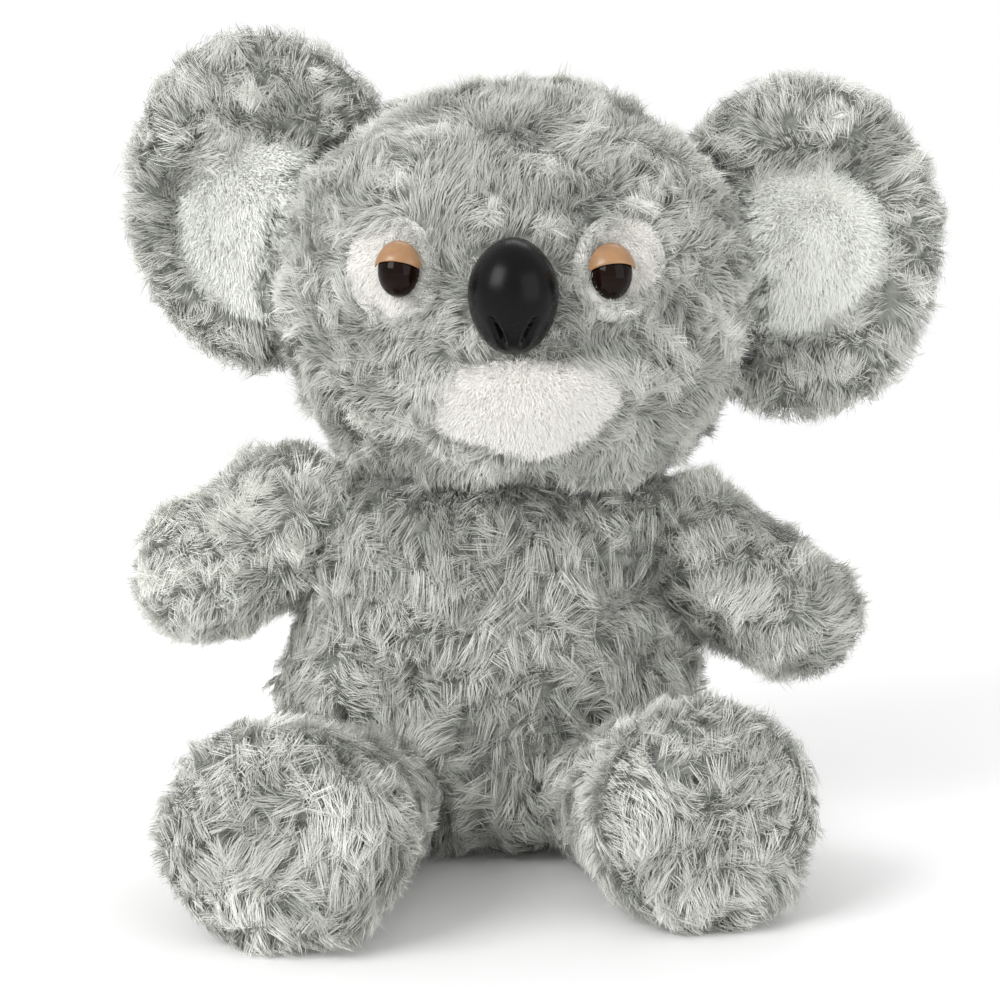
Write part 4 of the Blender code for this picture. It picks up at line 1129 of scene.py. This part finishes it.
def ear_panel(node, side, facing, hub):
    """The backing cloth of an ear's front or back, drawn onto its solid and set in under the pile."""
    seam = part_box(f"ear_front_{side}")[1].y
    far = outline_of(f"ear_front_{side}", hub)
    tree = search_tree(NODES[node].data)
    piece = fresh_disc(f"{node}_backing", 72, 14)
    edge = []
    for vertex in piece.data.vertices:
        share, turn = disc_place(vertex)
        spot = beside(hub, turn, float(far(turn)) * share, facing * IN_FRONT)
        hit = tree.ray_cast(spot, Vector((0, -facing, 0)))[0]
        spot.y = seam if hit is None or share > EAR_EDGE_SHARE else hit.y
        vertex.co = spot
        if share > EAR_EDGE_SHARE:
            edge.append(vertex.index)
    add_evening(piece, 4)
    apply_modifiers(piece)
    with editing(piece):
        bpy.ops.mesh.normals_make_consistent(inside=False)
    face_along(piece, facing)
    points, normals, _ = corners_of(piece.data)
    rim = (np.abs(points[:, 1] - seam) < EAR_RIM_DEPTH)[:, None]
    outward = points - np.array(hub)
    outward[:, 1] = 0
    backing = bpy.context.scene.koala_pile.backing
    moved = points - normals * backing * ~rim - unit(outward) * EAR_RIM_INSET * rim
    moved[edge, 1] = seam
    set_points(piece, moved)
    bpy.ops.object.shade_smooth()
    return piece


def build_ear(side):
    """An ear's two fur panels, dished in front round the pale patch."""
    body = f"ear_{side}"
    patch = f"ear_patch_{side}"
    hub = middle_of(patch)
    patch_far = outline_of(patch, hub)
    lift = bpy.context.scene.koala_pile.backing + EAR_PATCH_LIFT
    panels = [(f"ear_{place}_{side}", facing) for place, facing in (("front", -1), ("back", 1))]
    pieces = [ear_panel(node, side, facing, hub) for node, facing in panels]
    for (node, facing), piece in zip(panels, pieces):

        def flow(points):
            apart = points - np.array(hub)
            apart[:, 1] = 0
            return unit(apart) * 0.5 + np.array((0, facing * 0.1, -0.1)) + whorled(points)

        def keep(points, normals):
            return (PALE[patch](points) > 1.0) | (facing > 0)

        def raised(points):
            """Up to the patch where the grey pile grows over its edge."""
            return lift * np.clip((1.15 - share_out(patch_far, points, hub)) / 0.3, 0, 1)

        seed = 51 + SIDES.index(side) * 2 + (facing > 0)
        tree = search_tree(piece.data)
        spec = base_spec(
            seed, (f"{node}_pile",), flow, tree, keep, shade(0.53), relief=0.10, stray=0.0004, mess=0.16
        )
        spec["length"] *= 0.88
        if facing < 0:
            spec["raised"] = raised
        furred(piece, body, (node,), spec)


def disc_on(name, node, middle, tree, lift):
    """A disc of a pale region's outline, drawn onto the surface behind it and lifted a little."""
    far = outline_of(node, middle)
    piece = fresh_disc(name, 64, 9)
    for vertex in piece.data.vertices:
        share, turn = disc_place(vertex)
        edge = float(far(turn))
        way = np.array(((math.cos(turn), 0, math.sin(turn)),))
        while PALE[node](np.array(middle) + way * (edge + PATCH_SPARE))[0] < 1.0:
            edge += PATCH_STEP
        spot = beside(middle, turn, edge * share, -IN_FRONT)
        hit, normal, _, _ = tree.ray_cast(spot, Vector((0, 1, 0)))
        if hit is None:
            hit, normal, _, _ = tree.find_nearest(Vector((spot.x, middle.y, spot.z)))
        vertex.co = hit + normal * (lift * (1 - 0.9 * max(share - 0.85, 0) / 0.15))
    add_evening(piece, 2)
    apply_modifiers(piece)
    face_along(piece, -1)
    bpy.ops.object.shade_smooth()
    return piece


def build_patches():
    """The pale short pile on the muzzle, round the eyes and in the ears."""
    head_tree = form("head")[1]
    jobs = [(node, middle, "head", head_tree, lift) for node, middle, lift in face_discs()]
    ear_lift = bpy.context.scene.koala_pile.backing + EAR_PATCH_LIFT
    for side in SIDES:
        tree = search_tree(bpy.data.objects[f"ear_front_{side}_backing"].data)
        jobs.append((f"ear_patch_{side}", middle_of(f"ear_patch_{side}"), f"ear_{side}", tree, ear_lift))
    for seed, (node, middle, body, tree, lift) in enumerate(jobs, 61):
        piece = disc_on(f"{node}_backing", node, middle, tree, lift)
        in_ear = node.startswith("ear")

        def flow(points):
            apart = points - np.array(middle)
            apart[:, 1] = 0
            return apart / 0.02 + np.array((0, 0, -0.9)) + whorled(points) * (0.25 if in_ear else 0.15)

        def keep(points, normals):
            return PALE[node](points) < 1.03

        values = EAR_PILE if in_ear else FACE_PILE
        spec = base_spec(seed, (f"{node}_pile",), flow, None, keep, shade(0.55), **values)
        spec["density"] *= 2.5 if in_ear else 4.2
        spec["width"] *= 1.15 if in_ear else 1.0
        look_name = "ear_pile" if in_ear else "cream_pile"
        lay_pile(corners_of(piece.data), look(look_name), body, spec)
        finish_piece(piece, look("cream_backing"), body, (node,))


def rounded_copy(node, name, look_name):
    """A copy of a moulded piece of the face, rounded by subdivision."""
    piece = merged_copy(node, name)
    divide = piece.modifiers.new("round", "SUBSURF")
    divide.levels = 2
    divide.render_levels = 2
    apply_modifiers(piece)
    bpy.ops.object.shade_smooth()
    finish_piece(piece, look(look_name), "head", (node,))


def finish_washer(node):
    materials = NODES[node].data.materials
    materials.clear()
    materials.append(look("white_washer"))


def build_eyes():
    for side in SIDES:
        rounded_copy(f"eye_{side}", f"eye_{side}_dome", "dark_eye")
        rounded_copy(f"eyelid_{side}", f"eyelid_{side}_shell", "tan_eyelid")
        finish_washer(f"eye_washer_{side}")


def build_nose():
    finish_washer("nose_washer")
    # the dome's middle lies at the face, behind its widest outline
    middle = Vector((NOSE_MIDDLE.x, NOSE_LOW.y + NOSE_DEPTH, NOSE_MIDDLE.z))
    piece = fresh_ball("nose_shell", middle, 96, 72, (math.pi / 2, 0, 0))
    size = NOSE_HIGH - NOSE_LOW
    for vertex in piece.data.vertices:
        way = (vertex.co - middle) / FRESH_RADIUS
        wide = size.x * NOSE_WIDE_SHARE * (1 - NOSE_NARROWER * max(way.z, 0.0) ** 2)
        deep = NOSE_DEPTH * (1.0 if way.y < 0 else NOSE_BACK_SHARE)
        tall = size.z / 2 * (NOSE_TOP_SHARE if way.z > 0 else 1.0)
        vertex.co = middle + Vector((way.x * wide, way.y * deep, way.z * tall))
    points, normals, _ = corners_of(piece.data)
    side = np.abs(points[:, 0] - NOSE_MIDDLE.x)
    up = points[:, 2] - NOSE_MIDDLE.z
    line = 0.0036 + 0.0038 * np.clip((up + 0.0175) / 0.0095, 0, 1) ** 1.6
    run = np.clip((up - GROOVE_LOW) / GROOVE_FADE, 0, 1) * np.clip((GROOVE_HIGH - up) / GROOVE_FADE, 0, 1)
    groove = np.exp(-(((side - line) / GROOVE_HALF_WIDTH) ** 2)) * run * (points[:, 1] < middle.y)
    set_points(piece, points - normals * (groove * GROOVE_DEPTH)[:, None])
    bpy.ops.object.shade_smooth()
    finish_piece(piece, look("black_nose"), "head", ("nose",))


def mix_shaders(tree, amount, first, second, output):
    """Two shaders mixed by an amount, on the tree's output."""
    both = tree.nodes.new("ShaderNodeMixShader")
    for i, source in enumerate((amount, first, second)):
        tree.links.new(source, both.inputs[i])
    tree.links.new(both.outputs[0], tree.nodes[output].inputs["Surface"])


def build_camera(stage):
    away = Vector((0, -math.cos(stage.elevation), math.sin(stage.elevation)))
    data = bpy.data.cameras.new("camera")
    camera = bpy.data.objects.new("camera", data)
    bpy.context.scene.collection.objects.link(camera)
    camera.location = AIM + away * stage.distance
    camera.rotation_euler = (-away).to_track_quat("-Z", "Y").to_euler()
    data.sensor_width = SENSOR
    data.lens = SENSOR / 2 / math.tan(stage.view_angle / 2)
    bpy.context.scene.camera = camera
    bpy.context.scene.view_settings.view_transform = "Standard"


def build_floor():
    """A pale floor that goes over into the white backdrop far from the toy."""
    deselect_all()
    bpy.ops.mesh.primitive_plane_add(size=FLOOR_SIZE, location=(0, 0, 0))
    floor = bpy.context.object
    floor.name = "floor"
    made, tree, shader = new_material("pale_floor")
    set_inputs(shader, {"Base Color": (0.93, 0.93, 0.93, 1.0), "Roughness": 0.9, "Specular IOR Level": 0.0})
    place = tree.nodes.new("ShaderNodeTexCoord")
    far = tree.nodes.new("ShaderNodeVectorMath")
    far.operation = "LENGTH"
    tree.links.new(place.outputs["Object"], far.inputs[0])
    fade = map_range(tree, far.outputs["Value"], {"From Min": FLOOR_FADE[0], "From Max": FLOOR_FADE[1]})
    fade.interpolation_type = "SMOOTHSTEP"
    white = tree.nodes.new("ShaderNodeEmission")
    mix_shaders(tree, fade.outputs[0], shader.outputs[0], white.outputs[0], "Material Output")
    floor.data.materials.append(made)


def build_world(stage):
    """White to the camera, and an even light on the toy."""
    world = bpy.data.worlds.new("studio")
    bpy.context.scene.world = world
    world.use_nodes = True
    tree = world.node_tree
    lit = tree.nodes["Background"]
    set_inputs(lit, {"Color": (1, 1, 1, 1), "Strength": stage.ambient})
    seen = tree.nodes.new("ShaderNodeBackground")
    set_inputs(seen, {"Color": (1, 1, 1, 1), "Strength": 1.0})
    path = tree.nodes.new("ShaderNodeLightPath")
    mix_shaders(tree, path.outputs["Is Camera Ray"], lit.outputs[0], seen.outputs[0], "World Output")


def build_lamps(stage):
    for name, (place, size, share) in LAMPS.items():
        lamp = bpy.data.lights.new(name, "AREA")
        lamp.energy = stage.key * share
        lamp.size = size
        holder = bpy.data.objects.new(name, lamp)
        bpy.context.scene.collection.objects.link(holder)
        holder.location = place
        holder.rotation_euler = (AIM - Vector(place)).to_track_quat("-Z", "Y").to_euler()


def build_stage():
    stage = bpy.context.scene.koala_stage
    build_camera(stage)
    build_floor()
    build_world(stage)
    build_lamps(stage)


# Operators


def operator(name, title, text, work):
    """An operator class that runs one building step."""

    def execute(self, context):
        work()
        return {"FINISHED"}

    return type(
        f"KOALA_OT_{name}",
        (Operator,),
        {"bl_idname": f"koala.{name}", "bl_label": title, "__doc__": text, "execute": execute},
    )


STEPS = (
    ("fillings", "Fillings", "Build the fibre filling of every stuffed part", build_fillings),
    ("body", "Body", "Build the body's backing and pile", build_body),
    ("head", "Head", "Build the head's backing and pile", build_head),
    ("arms", "Arms", "Build both arms", lambda: [build_arm(side) for side in SIDES]),
    ("legs", "Legs", "Build both legs and their soles", lambda: [build_leg(side) for side in SIDES]),
    ("ears", "Ears", "Build both ears", lambda: [build_ear(side) for side in SIDES]),
    ("patches", "Pale patches", "Build the pale patches of the face and ears", build_patches),
    ("eyes", "Eyes", "Build the eyes and their lids", build_eyes),
    ("nose", "Nose", "Build the moulded nose", build_nose),
    ("stage", "Stage", "Build the camera, the floor, the world and the lamps", build_stage),
)
OPERATORS = tuple(operator(*step) for step in STEPS)


class KOALA_PT_panel(Panel):
    """Lists the toy's building steps"""

    bl_label = "Koala"
    bl_idname = "KOALA_PT_panel"
    bl_space_type = "VIEW_3D"
    bl_region_type = "UI"
    bl_category = "Koala"

    def draw(self, context):
        for group in ("koala_pile", "koala_colors", "koala_stage"):
            box = self.layout.box()
            values = getattr(context.scene, group)
            for name in values.__annotations__:
                box.prop(values, name)
        for made in OPERATORS:
            self.layout.operator(made.bl_idname)


CLASSES = (KoalaPile, KoalaColors, KoalaStage, *OPERATORS, KOALA_PT_panel)


def register():
    for made in CLASSES:
        bpy.utils.register_class(made)
    bpy.types.Scene.koala_pile = PointerProperty(type=KoalaPile)
    bpy.types.Scene.koala_colors = PointerProperty(type=KoalaColors)
    bpy.types.Scene.koala_stage = PointerProperty(type=KoalaStage)


def unregister():
    del bpy.types.Scene.koala_pile
    del bpy.types.Scene.koala_colors
    del bpy.types.Scene.koala_stage
    for made in reversed(CLASSES):
        bpy.utils.unregister_class(made)


def main():
    register()
    for made in OPERATORS:
        getattr(bpy.ops.koala, made.bl_idname.split(".")[1])()


if __name__ == "__main__":
    main()
